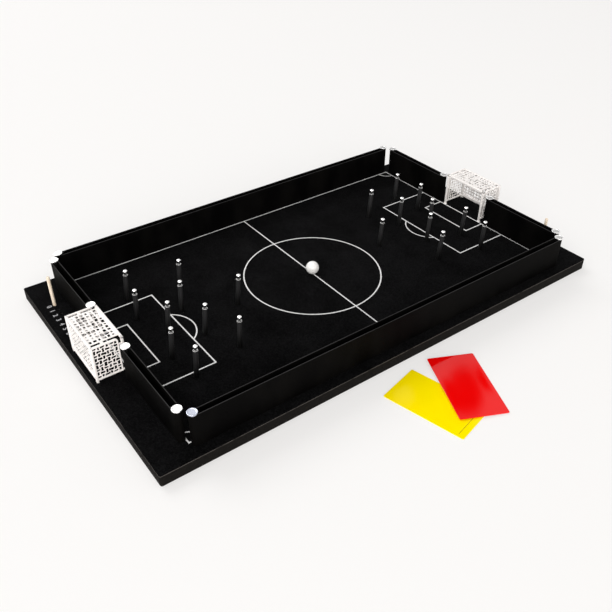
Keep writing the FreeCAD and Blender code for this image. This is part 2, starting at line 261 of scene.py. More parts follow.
@dataclass(frozen=True)
class Fibreboard(Finish):
    """The sawn, black-stained edge of a fibreboard, with a paler line painted along its arrises as a painted
    highlight.
    """

    stain: Colour = (0.0035, 0.0032, 0.003)
    fibre: Colour = (0.011, 0.0095, 0.008)
    # A paler colour along the arrises: a painted highlight.
    rubbed: Colour = (0.07, 0.064, 0.058)
    top_mm: float = 12.6

    def sockets(self, sheet: NodeSheet) -> dict[str, Value]:
        """Draw layered fibres along the edge, and a paler line along the top and bottom arrises, broken up by
        noise, as a painted highlight.

        Args:
            sheet: The sheet that gets the nodes.

        Returns:
            The surface shader's sockets.
        """
        place = sheet.place()
        height = sheet.part(place, 2)
        layers = sheet.noise(sheet.stretched(place, (1, 1, 6)), 5, 5)
        pores = sheet.noise(place, 0.6, 4)
        grain = (layers * 0.55 + pores * 0.45).rise(0.4, 0.68)
        middle = self.top_mm / 2 * MM
        # Painted highlight: a paler line along the board's top and bottom arrises, broken up in patches by
        # noise.
        arris = abs(height - middle).rise(middle - 0.9 * MM, middle - 0.3 * MM)
        arris_highlight_mask = arris * sheet.noise(place, 9, 3).rise(0.25, 0.5)
        return {
            "Base Color": sheet.mix(arris_highlight_mask, sheet.mix(grain, self.stain, self.fibre), self.rubbed),
            "Roughness": 0.7 + grain * 0.2,
            "Specular IOR Level": 0.06,
            "Normal": sheet.bump(layers * 0.5 + pores * 0.5, 0.25),
        }


@dataclass(frozen=True)
class Ink(Finish):
    """Pale screen print that the pile breaks up."""

    colour: Colour = (0.8, 0.8, 0.8)
    felt: Colour = (0.05, 0.05, 0.052)

    def sockets(self, sheet: NodeSheet) -> dict[str, Value]:
        """Draw the ink's colour with fine gaps, and faint patches where it went on thin.

        Args:
            sheet: The sheet that gets the nodes.

        Returns:
            The surface shader's sockets.
        """
        place = sheet.place()
        pile = sheet.noise(place, 0.45, 5)
        thin = sheet.noise(place, 14, 2)
        gaps = (pile + thin * 0.18).rise(0.78, 0.68)
        return {
            "Base Color": sheet.mix(gaps, self.felt, self.colour),
            "Roughness": 0.95,
            "Specular IOR Level": 0.1,
            "Normal": sheet.bump(pile, 0.3),
        }


@dataclass(frozen=True)
class Rubber(Finish):
    """Smooth black rubber, grey along its top and bottom edges as a painted highlight."""

    skin: Colour = (0.0008, 0.0007, 0.0007)
    bloom: Colour = (0.0025, 0.0023, 0.0021)
    # Grey for the band's top and bottom edges: a painted highlight.
    cut: Colour = (0.03, 0.0295, 0.03)
    low_mm: float = 14.4
    high_mm: float = 51.0

    def sockets(self, sheet: NodeSheet) -> dict[str, Value]:
        """Draw the skin's bloom in soft clouds, the grey of painted highlight along the top and bottom edges
        and a fine moulded texture.

        Args:
            sheet: The sheet that gets the nodes.

        Returns:
            The surface shader's sockets.
        """
        place = sheet.place()
        height = sheet.part(place, 2)
        cloud = sheet.noise(sheet.stretched(place, (1, 1, 0.5)), 30, 3).rise(0.35, 0.7)
        middle = (self.low_mm + self.high_mm) / 2 * MM
        half = (self.high_mm - self.low_mm) / 2 * MM
        # Painted highlight: this mask greys the band along its top and bottom edges.
        edge = abs(height - middle).rise(half - 0.35 * MM, half - 0.05 * MM)
        fine = sheet.noise(place, 0.5, 3)
        return {
            "Base Color": sheet.mix(edge, sheet.mix(cloud, self.skin, self.bloom), self.cut),
            "Roughness": 0.5 + cloud * 0.14 + fine * 0.08,
            "Specular IOR Level": 0.03,
            "Normal": sheet.bump(fine, 0.02),
        }


@dataclass(frozen=True)
class Tube(Finish):
    """The sleeves' satin rubber tube, with painted shade that darkens it towards its foot and a painted
    highlight on its lip.
    """

    # low and high: painted shade, dark at the foot and lighter at the top of the tube.
    low: Colour = (0.002, 0.002, 0.002)
    high: Colour = (0.021, 0.021, 0.022)
    # White on the lip: a painted highlight.
    cut: Colour = (0.8, 0.8, 0.8)
    faded_mm: Pair = (15.0, 40.0)
    lip_mm: float = 46.52

    def sockets(self, sheet: NodeSheet) -> dict[str, Value]:
        """Draw the drawn skin, streaked along the tube, its painted shade from a lighter top to a dark foot,
        and the painted highlight on the end.

        Args:
            sheet: The sheet that gets the nodes.

        Returns:
            The surface shader's sockets.
        """
        place = sheet.place()
        height = sheet.part(place, 2)
        # Painted highlight: the lip takes the pale colour and a little less roughness.
        end = height.rise(self.lip_mm * MM, (self.lip_mm + 0.1) * MM)
        # Painted shade: the tube darkens from 40 mm down to 15 mm.
        painted_shade_mask = height.rise(*(level * MM for level in self.faded_mm))
        streaks = sheet.noise(sheet.stretched(place, (1, 1, 0.08)), 0.7, 3)
        return {
            "Base Color": sheet.mix(end, sheet.mix(painted_shade_mask, self.low, self.high), self.cut),
            "Roughness": (0.3 + streaks * 0.2) - end * 0.1,
            "Specular IOR Level": 0.35,
            "Normal": sheet.bump(streaks, 0.03),
        }


@dataclass(frozen=True)
class Metal(Finish):
    """Turned and polished metal with fine lathe marks, and bluish-grey patches that are a painted reflection.
    """

    bright: Colour = (0.93, 0.93, 0.93)
    # Bluish-grey laid in patches on some heads: a painted reflection.
    cloudy: Colour = (0.57, 0.6, 0.7)
    waves: Pair = (150.0, 152.0)
    roughness: float = 0.16

    def sockets(self, sheet: NodeSheet) -> dict[str, Value]:
        """Draw the metal's tone with its bluish-grey patches of painted reflection, and its lathe marks.

        Args:
            sheet: The sheet that gets the nodes.

        Returns:
            The surface shader's sockets.
        """
        place = sheet.place()
        along, across = (sheet.part(place, axis) * wave for axis, wave in enumerate(self.waves))
        # Painted reflection: sine waves across the board pick the heads that turn bluish-grey.
        patches = (along.math("SINE", along) + across.math("SINE", across)).rise(1.1, 1.6)
        marks = sheet.noise(place, 0.8, 4)
        return {
            "Base Color": sheet.mix(patches, self.bright, self.cloudy),
            "Metallic": 1.0,
            "Roughness": self.roughness + marks * 0.12,
            "Normal": sheet.bump(marks, 0.01),
        }


@dataclass(frozen=True)
class Moulding(Finish):
    """White injection-moulded plastic, slightly warm, with a faint flow texture."""

    white: Colour = (0.89, 0.86, 0.84)
    shade: Colour = (0.84, 0.81, 0.79)
    roughness: float = 0.34
    flow_mm: float = 11.0

    def sockets(self, sheet: NodeSheet) -> dict[str, Value]:
        """Draw the plastic's tone with soft flow marks and a fine orange-peel relief.

        Args:
            sheet: The sheet that gets the nodes.

        Returns:
            The surface shader's sockets.
        """
        place = sheet.place()
        flow = sheet.noise(place, self.flow_mm, 3).rise(0.35, 0.75)
        peel = sheet.noise(place, 1.1, 2)
        return {
            "Base Color": sheet.mix(flow, self.white, self.shade),
            "Roughness": self.roughness + flow * 0.12,
            "Normal": sheet.bump(peel, 0.03),
        }


@dataclass(frozen=True)
class Dowel(Finish):
    """Bare pale wood, its grain along the peg."""

    early: Colour = (0.84, 0.75, 0.62)
    late: Colour = (0.64, 0.5, 0.36)

    def sockets(self, sheet: NodeSheet) -> dict[str, Value]:
        """Draw the rings' colour, drawn out along the grain, and the open pores.

        Args:
            sheet: The sheet that gets the nodes.

        Returns:
            The surface shader's sockets.
        """
        place = sheet.stretched(sheet.place(), (1, 1, 0.06))
        rings = sheet.noise(place, 1.0, 4).rise(0.42, 0.66)
        pores = sheet.noise(place, 0.25, 3)
        return {
            "Base Color": sheet.mix(rings * 0.7 + pores * 0.25, self.early, self.late),
            "Roughness": 0.55 + rings * 0.2,
            "Normal": sheet.bump(pores, 0.08),
        }


@dataclass(frozen=True)
class CardStock(Finish):
    """Glossy coloured plastic card with faint handling scratches."""

    face: Colour
    deep: Colour
    roughness: float = 0.05

    def sockets(self, sheet: NodeSheet) -> dict[str, Value]:
        """Draw the card's colour, its hairline scratches and the slight waviness of its gloss.

        Args:
            sheet: The sheet that gets the nodes.

        Returns:
            The surface shader's sockets.
        """
        place = sheet.place()
        tone = sheet.noise(place, 38, 2).rise(0.3, 0.7)
        scratches = sheet.noise(sheet.stretched(place, (9, 0.4, 1)), 3, 4).rise(0.62, 0.72)
        return {
            "Base Color": sheet.mix(tone, self.face, self.deep),
            "Roughness": self.roughness + scratches * 0.04,
            "Specular IOR Level": 0.32,
            "Normal": sheet.bump(sheet.noise(place, 8, 2), 0.005),
        }


def in_scene(name: str, data: bpy.types.ID) -> bpy.types.Object:
    """Put a new object in the scene.

    Args:
        name: The object's name.
        data: Its mesh, lamp or camera.

    Returns:
        The object.
    """
    item = bpy.data.objects.new(name, data)
    bpy.context.scene.collection.objects.link(item)
    return item


def aimed(item: bpy.types.Object, place: Vector, aim: Vector) -> None:
    """Place a lamp or the camera.

    Args:
        item: The lamp or camera.
        place: Where it goes, in metres.
        aim: The direction in which it looks.
    """
    item.location = place
    item.rotation_mode = "QUATERNION"
    item.rotation_quaternion = aim.to_track_quat("-Z", "Y")


class Surface:
    """A mesh under construction, in metres."""

    def __init__(self, points: Iterable[Sequence[float]] = (), faces: Iterable[Iterable[int]] = ()) -> None:
        """Start with these points and faces, or with none."""
        self.points: list[Vector] = [Vector(p) for p in points]
        self.faces: list[list[int]] = [list(face) for face in faces]

    def add(self, points: Iterable[Sequence[float]]) -> list[int]:
        """Add points.

        Args:
            points: The points, in metres.

        Returns:
            Their numbers.
        """
        first = len(self.points)
        self.points += [Vector(p) for p in points]
        return list(range(first, len(self.points)))

    def level(self, outline: Iterable[Pair], height: float) -> list[int]:
        """Add an outline at a height, both in millimetres, and return its points' numbers."""
        return self.add((x * MM, y * MM, height * MM) for x, y in outline)

    def bridge(self, first: Sequence[int], second: Sequence[int]) -> None:
        """Add the faces between two rings of as many points.

        Args:
            first: The points of one ring, or a single point.
            second: The points of the other, or a single point.
        """
        count = max(len(first), len(second))
        for i in range(count):
            j = (i + 1) % count
            corners = [first[i % len(first)], first[j % len(first)], second[j % len(second)],
                       second[i % len(second)]]
            self.faces.append(list(dict.fromkeys(corners)))

    def skin(self, rings: Sequence[Sequence[int]]) -> None:
        """Add the faces from each ring to the next."""
        for lower, upper in zip(rings, rings[1:]):
            self.bridge(lower, upper)

    def moved(self, matrix: Matrix) -> "Surface":
        """Return a copy that is moved by a matrix."""
        return Surface((matrix @ p for p in self.points), self.faces)

    def join(self, other: "Surface", matrix: Matrix = Matrix.Identity(4)) -> None:
        """Add a copy of another surface, moved by a matrix."""
        numbers = self.add(matrix @ p for p in other.points)
        self.faces += [[numbers[i] for i in face] for face in other.faces]

    def piece(self, name: str, finish: Finish, body: str, slot: str, *nodes: str,
              crease: float = 38.0) -> bpy.types.Object:
        """Turn the surface into a piece of the model.

        Args:
            name: The piece's name.
            finish: What it is made of.
            body: The body that it rides on.
            slot: The name of a material slot; not used.
            nodes: The nodes that it stands for.
            crease: The angle in degrees over which an edge stays sharp.

        Returns:
            The new object.
        """
        mesh = bpy.data.meshes.new(name)
        mesh.from_pydata(self.points, [], self.faces)
        work = bmesh.new()
        work.from_mesh(mesh)
        bmesh.ops.remove_doubles(work, verts=work.verts, dist=PIECE_WELD)
        bmesh.ops.recalc_face_normals(work, faces=work.faces)
        work.to_mesh(mesh)
        work.free()
        mesh.shade_smooth()
        mesh.set_sharp_from_angle(angle=math.radians(crease))
        mesh.materials.append(finish.material())
        item = in_scene(name, mesh)
        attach(item, body)
        if nodes:
            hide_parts(*nodes)
        log.info("%s: %d faces", name, len(mesh.polygons))
        return item


def circle(x: float, y: float, radius: float, sides: int) -> list[Pair]:
    """Return the corners of a regular outline about x and y."""
    steps = [FULL_TURN * i / sides for i in range(sides)]
    return [(x + radius * math.cos(a), y + radius * math.sin(a)) for a in steps]


def lathe(profile: Sequence[Pair], sides: int) -> Surface:
    """Return a turned solid.

    Args:
        profile: (radius, height) in millimetres, from axis to axis or closed on itself.
        sides: How many flats it is turned in.

    Returns:
        The solid, on the Z axis.
    """
    surface = Surface()
    rings = []
    for radius, height in profile:
        ring = circle(0, 0, radius, sides) if radius > 0 else [(0.0, 0.0)]
        rings.append(surface.level(ring, height))
    surface.skin(rings)
    return surface


def arc(radius: float, height: float, size: Pair, start: float, finish: float, steps: int) -> list[Pair]:
    """Return places along a part of an ellipse, for a profile or an outline.

    Args:
        radius: The profile's radius, or the outline's x, at the ellipse's centre.
        height: The profile's height, or the outline's y, at the ellipse's centre.
        size: The ellipse's half width and half height.
        start: The angle in degrees where it starts.
        finish: The angle in degrees where it ends.
        steps: How many stretches it has.

    Returns:
        The places, in the profile's units.
    """
    angles = [math.radians(start + (finish - start) * i / steps) for i in range(steps + 1)]
    return [(radius + size[0] * math.cos(a), height + size[1] * math.sin(a)) for a in angles]


def rounded_rectangle(length: float, width: float, radius: float, steps: int = 6) -> list[Pair]:
    """Return the outline of a rectangle with rounded corners.

    Args:
        length: Its size along X.
        width: Its size along Y.
        radius: The radius of its corners.
        steps: How many stretches each corner has.

    Returns:
        The outline, about the origin.
    """
    outline = []
    for i, (sx, sy) in enumerate(((1, 1), (-1, 1), (-1, -1), (1, -1))):
        centre = (sx * (length / 2 - radius), sy * (width / 2 - radius))
        outline += arc(*centre, (radius, radius), 90 * i, 90 * i + 90, steps)
    return outline


def eased(thickness: float, edge: float) -> list[Pair]:
    """Return (inset, height) of the outlines of a plate whose edges are rounded, from its bottom up."""
    lower = [(edge, 0.0), (edge * ROUND_MIDDLE, edge * ROUND_MIDDLE), (0.0, edge)]
    return lower + [(inset, thickness - height) for inset, height in reversed(lower)]


def flat_fill(surface: Surface, loops: Sequence[Sequence[int]], wanted: Callable[[Vector], bool]) -> None:
    """Fill the flat region that outlines bound.

    Args:
        surface: The surface that holds the outlines' points, and gets the faces.
        loops: Each outline as the numbers of its points.
        wanted: Says of a face's middle (x, y) whether the face belongs.
    """
    numbers = [i for loop in loops for i in loop]
    edges, first = [], 0
    for loop in loops:
        edges += [(first + i, first + (i + 1) % len(loop)) for i in range(len(loop))]
        first += len(loop)
    flat = [surface.points[i].to_2d() for i in numbers]
    points, _, faces, origins, _, _ = delaunay_2d_cdt(flat, edges, [], 0, OUTLINE_WELD)
    height = surface.points[numbers[0]].z
    known = []
    for point, origin in zip(points, origins):
        known.append(numbers[origin[0]] if origin else surface.add([(*point, height)])[0])
    for face in faces:
        middle = sum((points[i] for i in face), Vector((0, 0))) / len(face)
        if wanted(middle):
            surface.faces.append([known[i] for i in face])


def standing_solids(node: str) -> list[tuple[Vector, Vector]]:
    """Return where each separate solid of a node is.

    Args:
        node: The node's name.

    Returns:
        Each solid's lowest and highest corner in metres, sorted.
    """
    work = bmesh.new()
    work.from_mesh(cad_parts[node].data)
    bmesh.ops.remove_doubles(work, verts=work.verts, dist=NODE_WELD)
    boxes = []
    left = set(work.verts)
    while left:
        island, edge = set(), [left.pop()]
        while edge:
            point = edge.pop()
            island.add(point)
            near = {link.other_vert(point) for link in point.link_edges} & left
            left -= near
            edge += near
        low = Vector(min(p.co[i] for p in island) for i in range(3))
        high = Vector(max(p.co[i] for p in island) for i in range(3))
        boxes.append((low, high))
    work.free()
    return sorted(boxes, key=lambda box: tuple(box[0]))


def stood(item: Surface, node: str) -> Surface:
    """Return copies of a turned item, one on the upright axis of each solid in a node.

    Args:
        item: The item, on the Z axis.
        node: The node's name.

    Returns:
        The copies.
    """
    group = Surface()
    for low, high in standing_solids(node):
        middle = (low + high) / 2
        group.join(item, Matrix.Translation((middle.x, middle.y, 0)))
    return group


def drawn_in(outline: Sequence[Pair], distance: float) -> list[Pair]:
    """Return a closed outline with every side moved inwards.

    Args:
        outline: The outline's points, anticlockwise.
        distance: How far the sides move, outwards if it is negative.

    Returns:
        The points of the new outline.
    """
    moved = []
    for i, point in enumerate(outline):
        here = Vector(point)
        before = (here - Vector(outline[i - 1])).normalized()
        after = (Vector(outline[(i + 1) % len(outline)]) - here).normalized()
        bisector = Vector((-before.y - after.y, before.x + after.x)).normalized()
        lean = max(LEAST_LEAN, abs(bisector.dot(Vector((-before.y, before.x)))))
        moved.append(tuple(here + bisector * distance / lean))
    return moved


def emptied(work: bmesh.types.BMesh, put: Callable[[Vector], Vector]) -> Surface:
    """Return what a bmesh holds as a surface, and free the bmesh.

    Args:
        work: The bmesh.
        put: Returns the place of a point, in metres, from its place in the bmesh.

    Returns:
        The surface.
    """
    surface = Surface((put(v.co) for v in work.verts), ([v.index for v in face.verts] for face in work.faces))
    work.free()
    return surface


def rounded_bar(low: Sequence[float], high: Sequence[float], radius: float) -> Surface:
    """Return a bar along the axes with rounded edges.

    Args:
        low: Its lowest corner, in millimetres.
        high: Its highest corner, in millimetres.
        radius: How far its edges are rounded.

    Returns:
        The bar.
    """
    size = [b - a for a, b in zip(low, high)]
    work = bmesh.new()
    bmesh.ops.create_cube(work, size=1)
    bmesh.ops.scale(work, vec=Vector(size) * MM, verts=work.verts)
    bmesh.ops.bevel(work, geom=work.edges, offset=min(radius, min(size) * LARGEST_ROUND) * MM, segments=3,
                    profile=0.5, affect="EDGES")
    middle = Vector([(a + b) / 2 for a, b in zip(low, high)]) * MM
    return emptied(work, lambda place: place + middle)


@dataclass
class Board:
    """The felt-topped board with its holes, and the numbers beside the score holes."""

    length: float = 572.0
    width: float = 340.4
    corner: float = 2.0
    corner_share: float = 0.8
    thickness: float = 12.6
    felt: float = 1.2
    core_foot: tuple[Pair, ...] = ((0.7, 0), (0.2, 0.15), (0, 0.6))
    core_arris: tuple[Pair, ...] = ((0, 0.3), (0.1, 0))
    pile_foot: tuple[Pair, ...] = ((0.25, 0), (0, 0.2))
    pile_arris: tuple[Pair, ...] = ((0, 0.55), (0.15, 0.2), (0.45, 0.04), (0.9, 0))
    socket_sides: int = 24
    socket_floor: float = 4.5
    socket_share: float = 0.999
    peg_hole: float = 1.98
    score_holes: int = 8
    score_pitch: float = 9.6
    goal_hole: float = 1.28
    goal_foot: float = 2.2
    number_height: float = 5.4
    number_offset: float = 6.4
    number_weight: float = 0.16
    number_relief: float = 0.03
    number_lift: float = 0.04
    capital_share: float = 0.73

    def score_places(self) -> list[Pair]:
        """Work out where the score holes of the away end are.

        Returns:
            Each hole's place in millimetres, the pegged one first.
        """
        low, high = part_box("away_score_peg")
        x, y = (low.x + high.x) / 2 / MM, (low.y + high.y) / 2 / MM
        return [(x, y + i * self.score_pitch) for i in range(self.score_holes)]

    def holes(self) -> list[Triple]:
        """Work out where the open holes are.

        Returns:
            Each hole's x, y and radius in millimetres.
        """
        away = [(x, y, self.peg_hole) for x, y in self.score_places()]
        low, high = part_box("away_goal_frame")
        goal_x, goal_y = low.x / MM + self.goal_foot, high.y / MM - self.goal_foot
        away += [(goal_x, side * goal_y, self.goal_hole) for side in SIDES]
        return away + [(-x, -y, radius) for x, y, radius in away]

    def plate(self, bottom: float, top: float, foot: Sequence[Pair], arris: Sequence[Pair],
              floor: float) -> Surface:
        """Return a plate with the board's holes.

        Args:
            bottom: The height of its underside.
            top: The height of its top.
            foot: (inset, height over the bottom) of each outline at its foot, going up.
            arris: (inset, depth under the top) of each outline at its upper edge, going up.
            floor: The height of the holes' floors, or the bottom if they go through.

        Returns:
            The plate.
        """
        surface = Surface()
        rings = []
        levels = [(inset, bottom + rise) for inset, rise in foot]
        levels += [(inset, top - drop) for inset, drop in arris]
        for inset, height in levels:
            outline = rounded_rectangle(self.length - 2 * inset, self.width - 2 * inset,
                                        self.corner - inset * self.corner_share)
            rings.append(surface.level(outline, height))
        surface.skin(rings)
        holes, mouths, floors = self.holes(), [], []
        for x, y, radius in holes:
            outline = circle(x, y, radius, self.socket_sides)
            mouths.append(surface.level(outline, top))
            floors.append(surface.level(outline, floor))
            surface.bridge(mouths[-1], floors[-1])
            if floor > bottom:
                surface.faces.append(floors[-1])

        def solid(place: Vector) -> bool:
            """Return whether a place is clear of the holes; a face inside one lies well within its radius."""
            return all(math.hypot(place.x / MM - x, place.y / MM - y) > radius * self.socket_share
                       for x, y, radius in holes)

        flat_fill(surface, [rings[-1], *mouths], solid)
        if floor > bottom:
            surface.faces.append(rings[0])
        else:
            flat_fill(surface, [rings[0], *floors], solid)
        return surface

    def number(self, value: int) -> Surface:
        """Return one plain number as flat print, centred on the origin.

        Args:
            value: The number.

        Returns:
            The print.
        """
        curve = bpy.data.curves.new("number", "FONT")
        curve.body = str(value)
        curve.size = self.number_height * MM / self.capital_share
        curve.align_x = "CENTER"
        curve.align_y = "CENTER"
        curve.offset = self.number_weight * MM
        curve.extrude = self.number_relief * MM
        curve.resolution_u = 4
        writing = bpy.data.objects.new("number", curve)
        mesh = bpy.data.meshes.new_from_object(writing)
        surface = Surface((v.co for v in mesh.vertices), (p.vertices for p in mesh.polygons))
        bpy.data.objects.remove(writing)
        bpy.data.curves.remove(curve)
        bpy.data.meshes.remove(mesh)
        return surface

    def numbers(self, team: Team) -> Surface:
        """Return the numbers beside one end's score holes.

        Args:
            team: Whose end it is.

        Returns:
            The print.
        """
        surface = Surface()
        height = (self.thickness + self.felt) * MM + self.number_lift * MM
        for value, (x, y) in enumerate(self.score_places()):
            place = Matrix.Translation(((x + self.number_offset) * MM, y * MM, height))
            upright = Matrix.Rotation(math.radians(90), 4, "Z")
            surface.join(self.number(value), team.turned() @ place @ upright)
        return surface

    def build(self) -> None:
        """Build the board, its felt and the numbers."""
        core = self.plate(0, self.thickness, self.core_foot, self.core_arris, self.socket_floor)
        core.piece("board_core", Fibreboard(), "board", "board", "base_board")
        pile = self.plate(self.thickness, self.thickness + self.felt, self.pile_foot, self.pile_arris,
                          self.thickness)
        cover = pile.piece("felt_cover", Felt(), "board", "felt", "felt_sheet")
        self.width * MM
        for team in Team:
            self.numbers(team).piece(f"{team.value}_score_numbers", Ink((0.48, 0.48, 0.5)), "board",
                                     "line_print")


@dataclass
class Stroke:
    """A printed line: a straight bar from its low to its high corner, or a part of a ring.

    A ring is drawn in flats, each with step as its radius times its degrees.
    """

    low: Pair = (0.0, 0.0)
    high: Pair = (0.0, 0.0)
    centre: Pair = (0.0, 0.0)
    radius: float = 0.0
    start: float = 0.0
    sweep: float = 0.0
    width: float = 0.0
    step: float = 120.0

    def loops(self) -> list[list[Pair]]:
        """Draw the stroke.

        Returns:
            Its outlines.
        """
        if self.radius == 0:
            (x0, y0), (x1, y1) = self.low, self.high
            return [[(x0, y0), (x1, y0), (x1, y1), (x0, y1)]]
        steps = max(8, round(self.radius * self.sweep / self.step))
        rings = []
        for radius in (self.radius - self.width / 2, self.radius + self.width / 2):
            rings.append(arc(*self.centre, (radius, radius), self.start, self.start + self.sweep, steps))
        if self.sweep == 360:
            return [ring[:-1] for ring in rings]
        return [rings[0] + rings[1][::-1]]

    def covers(self, x: float, y: float) -> bool:
        """Return whether the stroke's ink lies on a place.

        Args:
            x: The place's x.
            y: The place's y.

        Returns:
            True if it does.
        """
        if self.radius == 0:
            return self.low[0] < x < self.high[0] and self.low[1] < y < self.high[1]
        dx, dy = x - self.centre[0], y - self.centre[1]
        turn = (math.degrees(math.atan2(dy, dx)) - self.start) % 360
        return abs(math.hypot(dx, dy) - self.radius) < self.width / 2 and turn <= self.sweep


@dataclass
class PitchPrint:
    """The football pitch, printed on the felt."""

    width: float = 1.5
    goal_line: float = 247.5
    touch_line: float = 151.3
    circle_radius: float = 80.7
    penalty: Pair = (74.2, 71.5)
    goal_area: Pair = (28.8, 37.7)
    arc_radius: float = 31.9
    spot: float = 55.9
    corner_radius: float = 13.5
    felt_top: float = 13.8
    thickness: float = 0.06

    def ring(self, centre: Pair, radius: float, start: float, sweep: float) -> Stroke:
        """Return a ring's line, or a part of it that starts and sweeps through angles in degrees."""
        return Stroke(centre=centre, radius=radius, start=start, sweep=sweep, width=self.width)

    def frame_strokes(self, x0: float, x1: float, y1: float) -> list[Stroke]:
        """Return the four sides of a rectangle.

        Args:
            x0: Its lowest x.
            x1: Its highest x.
            y1: Its highest y; its lowest is -y1.

        Returns:
            The strokes.
        """
        half = self.width / 2
        strokes = [Stroke((x0 - half, y - half), (x1 + half, y + half)) for y in (-y1, y1)]
        return strokes + [Stroke((x - half, -y1), (x + half, y1)) for x in (x0, x1)]

    def half_pitch(self, side: int) -> list[Stroke]:
        """Return the areas and arcs of one half.

        Args:
            side: -1 for the home half, 1 for the away half.

        Returns:
            The strokes.
        """
        line = self.goal_line
        strokes = []
        for depth, reach in (self.penalty, self.goal_area):
            strokes += self.frame_strokes(*sorted((side * line, side * (line - depth))), reach)
        opening = math.degrees(math.acos((self.penalty[0] - self.spot) / self.arc_radius))
        start = -opening if side < 0 else 180 - opening
        strokes.append(self.ring((side * (line - self.spot), 0), self.arc_radius, start, 2 * opening))
        for up in SIDES:
            start = {(-1, -1): 0, (1, -1): 90, (1, 1): 180, (-1, 1): 270}[(side, up)]
            strokes.append(self.ring((side * line, up * self.touch_line), self.corner_radius, start, 90))
        return strokes

    def build(self) -> None:
        """Build all the lines as one thin flat print."""
        half = self.width / 2
        strokes = self.frame_strokes(-self.goal_line, self.goal_line, self.touch_line)
        strokes.append(Stroke((-half, -self.touch_line), (half, self.touch_line)))
        strokes.append(self.ring((0, 0), self.circle_radius, 0, 360))
        strokes += self.half_pitch(-1) + self.half_pitch(1)
        surface = Surface()
        loops = [surface.level(loop, self.felt_top + self.thickness)
                 for stroke in strokes for loop in stroke.loops()]
        flat_fill(surface, loops, lambda p: any(s.covers(p.x / MM, p.y / MM) for s in strokes))
        surface.piece("printed_lines", Ink(), "board", "line_print", "pitch_markings")


